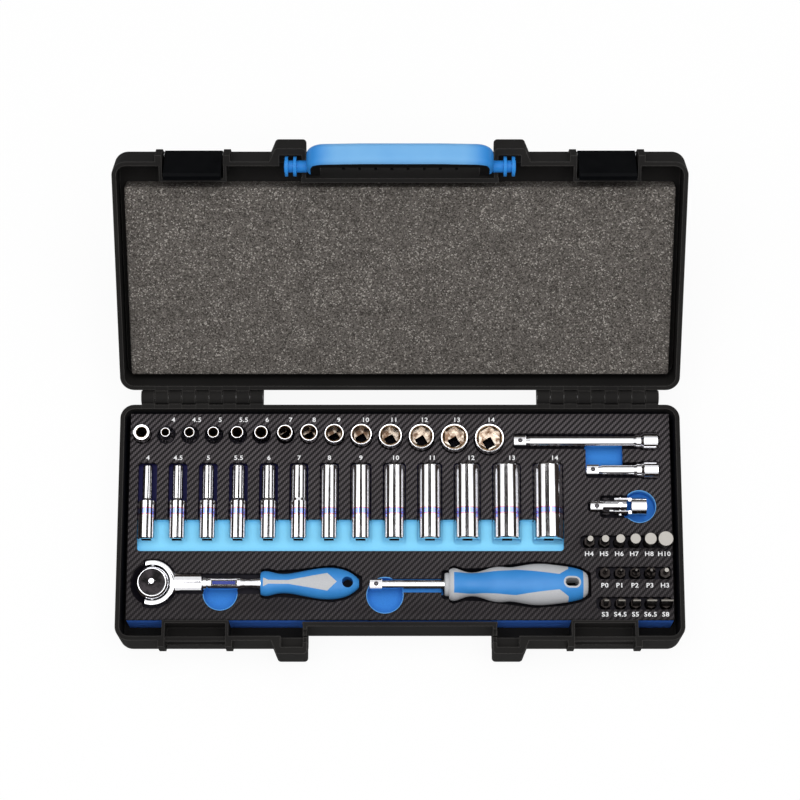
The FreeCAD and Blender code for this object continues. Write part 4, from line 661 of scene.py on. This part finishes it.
def from_head(finish):
    """How far a point is from the middle of the ratchet's head, along it and across, and straight."""
    x, y = finish.axes()[:2]
    out, off = x - head.x, y - head.y
    return out, off, finish.maths("SQRT", out * out + off * off)


forged, haze, plate = chrome_finish("forged_chrome")
out, off, apart = from_head(forged)
shank_end, shank_radius, fork_middle, fork_radius = 33, 10, 13.7, 3.2
stem = ridge(forged, off, shank_radius) - shank_radius
arms = ridge(forged, apart - fork_middle, fork_radius) - fork_radius
forged.set(base_color=plate, roughness=haze * 0.07 + 0.06)
forged.relief(forged.maths("MAXIMUM", stem, arms) * (out < shank_end), 1.0)
dress(forged, "ratchet_shank")

button_chrome, haze, plate = chrome_finish("button_chrome")
worn_radius = 1.7
worn = from_head(button_chrome)[2] < worn_radius
worn_plate = button_chrome.blend(worn, paint(34, 31, 32), plate)
button_chrome.set(base_color=worn_plate, roughness=haze * 0.07 + 0.08)
dress(button_chrome, "ratchet_button")

black_plastic = Finish("black_plastic", specular_ior_level=0.06)
speckle = black_plastic.noise(1.2, detail=3)
groove_rate = 4.2
groove = black_plastic.maths("SINE", from_head(black_plastic)[2] * groove_rate)
smudge = black_plastic.noise(0.16, detail=3)
sheen = black_plastic.ramp(smudge, (0.42, paint(15, 13, 14)), (0.62, paint(62, 57, 60)))
black_plastic.set(base_color=sheen, roughness=speckle * 0.2 + 0.22)
black_plastic.relief(groove * 0.5 + speckle * 0.5, 0.12, 0.6)
dress(black_plastic, "ratchet_dial")

enamel = Finish("enamel", specular_ior_level=0.6)
depth = enamel.noise(0.5, detail=2)
enamel_blue = enamel.blend(depth, paint(24, 40, 128), paint(38, 60, 158))
enamel.set(base_color=enamel_blue, roughness=depth * 0.1 + 0.14)
panel_floor, strip_half, strip_thick = 36.2, 1.1, 0.25
strip_low = Vector((-125.6, head.y - strip_half, panel_floor))
strip_high = Vector((-110.2, head.y + strip_half, panel_floor + strip_thick))
strip = box_mesh(strip_low * MM, strip_high * MM)
round_edges(strip, strip.edges[:], 0.1 * MM, segments=2)
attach(new_piece("neck_enamel", strip, enamel), "ratchet")

grip_blue = Finish("grip_blue", specular_ior_level=0.4)
skin = grip_blue.noise(1.5, detail=3)
tone = grip_blue.noise(0.08, detail=2)
grip_blue.set(
    base_color=grip_blue.blend(tone, paint(44, 126, 200), paint(60, 144, 214)),
    roughness=skin * 0.18 + 0.34,
)
grip_blue.relief(skin, 0.05, 0.3)
dress(grip_blue, "ratchet_grip", "driver_grip")

grip_grey = Finish("grip_grey", specular_ior_level=0.35)
skin = grip_grey.noise(1.5, detail=3)
grip_grey.set(
    base_color=grip_grey.blend(skin, paint(178, 180, 184), paint(202, 203, 206)),
    roughness=skin * 0.2 + 0.5,
)
grip_grey.relief(skin, 0.05, 0.3)
dress(grip_grey, "ratchet_grip_inlay", "driver_soft_panels", "driver_collar")


# Driver handle
# A plated shaft moulded into a two-material grip, with a grey collar in front.
# Its square tip has a sprung ball, and the grip shares the ratchet's blue and grey.

crowned_chrome("driver_shaft", tip_crown, tip_length)
detent_ball("driver_ball", "driver", "driver_shaft")


# Studio
# A white floor, one large soft lamp overhead and two weak ones at the sides, in a bright surround.
# Two dark cards over the tools and a dark fence round them show in the chrome as dark lines and edges.

def seen_directly(mixture):
    """1 for the rays that carry the background itself: to the camera, or by a mirror or glass."""
    kinds = ("Camera", "Glossy", "Transmission")
    rays = [mixture.add("LightPath", output=f"Is {kind} Ray") for kind in kinds]
    return mixture.maths("MINIMUM", sum(rays, start=0), 1.0)


floor_half = 4.0
floor_mesh = bmesh.new()
bmesh.ops.create_grid(floor_mesh, x_segments=1, y_segments=1, size=floor_half)
floor_white = Finish("floor_white", base_color=paint(252, 252, 252), roughness=0.9)
glow = floor_white.add("Emission", sockets={"Color": (1, 1, 1, 1), "Strength": 1.0})
matt = Wire(floor_white, floor_white.shader.outputs[0])
surface = floor_white.add("MixShader", sockets={0: seen_directly(floor_white) * 0.92, 1: matt, 2: glow})
floor_white.feed(floor_white.tree.nodes["Material Output"], {"Surface": surface})
floor = new_piece("floor", floor_mesh, floor_white)

flag_black = Finish("flag_black", base_color=paint(40, 30, 25), roughness=1.0)


def dark_flag(name, mesh):
    """A card that is seen only in reflections."""
    flag = new_piece(name, mesh, flag_black)
    flag.visible_camera = False
    flag.visible_diffuse = False
    flag.visible_shadow = False


card_height = 0.63


def flag_card(name, middle_x, middle_y, width, depth):
    card = bmesh.new()
    bmesh.ops.create_grid(card, x_segments=1, y_segments=1, size=0.5)
    bmesh.ops.scale(card, verts=card.verts, vec=(width, depth, 1))
    bmesh.ops.translate(card, verts=card.verts, vec=(middle_x, middle_y, card_height))
    dark_flag(name, card)


flag_card("flag_over_sockets", 0, 0.15, 0.38, 0.1)
flag_card("flag_over_ratchet", -0.16, 0.072, 0.08, 0.16)

fence_radius, fence_height = 1.5, 1.05
fence = bmesh.new()
lift = Matrix.Translation((0, 0, fence_height / 2))
sides = {"radius1": fence_radius, "radius2": fence_radius, "depth": fence_height}
bmesh.ops.create_cone(fence, cap_ends=False, segments=64, matrix=lift, **sides)
dark_flag("flag_fence", fence)

world = bpy.data.worlds.new("studio")
bpy.context.scene.world = world
world.use_nodes = True
studio = Mixture(world.node_tree)
shaded, bright = 0.25, 1.0
level = shaded + seen_directly(studio) * (bright - shaded)
studio.feed(world.node_tree.nodes["Background"], {"Color": (1, 1, 1, 1), "Strength": level})


def soft_lamp(name, place, aim, width, depth, power):
    lamp = bpy.data.lights.new(name, "AREA")
    lamp.shape = "RECTANGLE"
    lamp.size = width
    lamp.size_y = depth
    lamp.energy = power
    holder = bpy.data.objects.new(name, lamp)
    holder.location = place
    holder.rotation_euler = (Vector(aim) - Vector(place)).to_track_quat("-Z", "Y").to_euler()
    bpy.context.scene.collection.objects.link(holder)


soft_lamp("lamp_overhead", (0, -0.1, 2.3), (0, 0.05, 0), 2.0, 2.4, 40)
soft_lamp("lamp_left", (-1.3, -0.1, 1.5), (0, 0.05, 0), 1.2, 1.8, 6)
soft_lamp("lamp_right", (1.3, -0.1, 1.5), (0, 0.05, 0), 1.2, 1.8, 6)

camera = bpy.data.cameras.new("camera")
camera.lens = 119.8
camera.sensor_width = 36
viewer = bpy.data.objects.new("camera", camera)
viewer.location = (0, -0.3816, 1.789)
viewer.rotation_euler = (math.radians(14.9), 0, 0)
bpy.context.scene.collection.objects.link(viewer)
bpy.context.scene.camera = viewer
bpy.context.scene.view_settings.view_transform = "Standard"
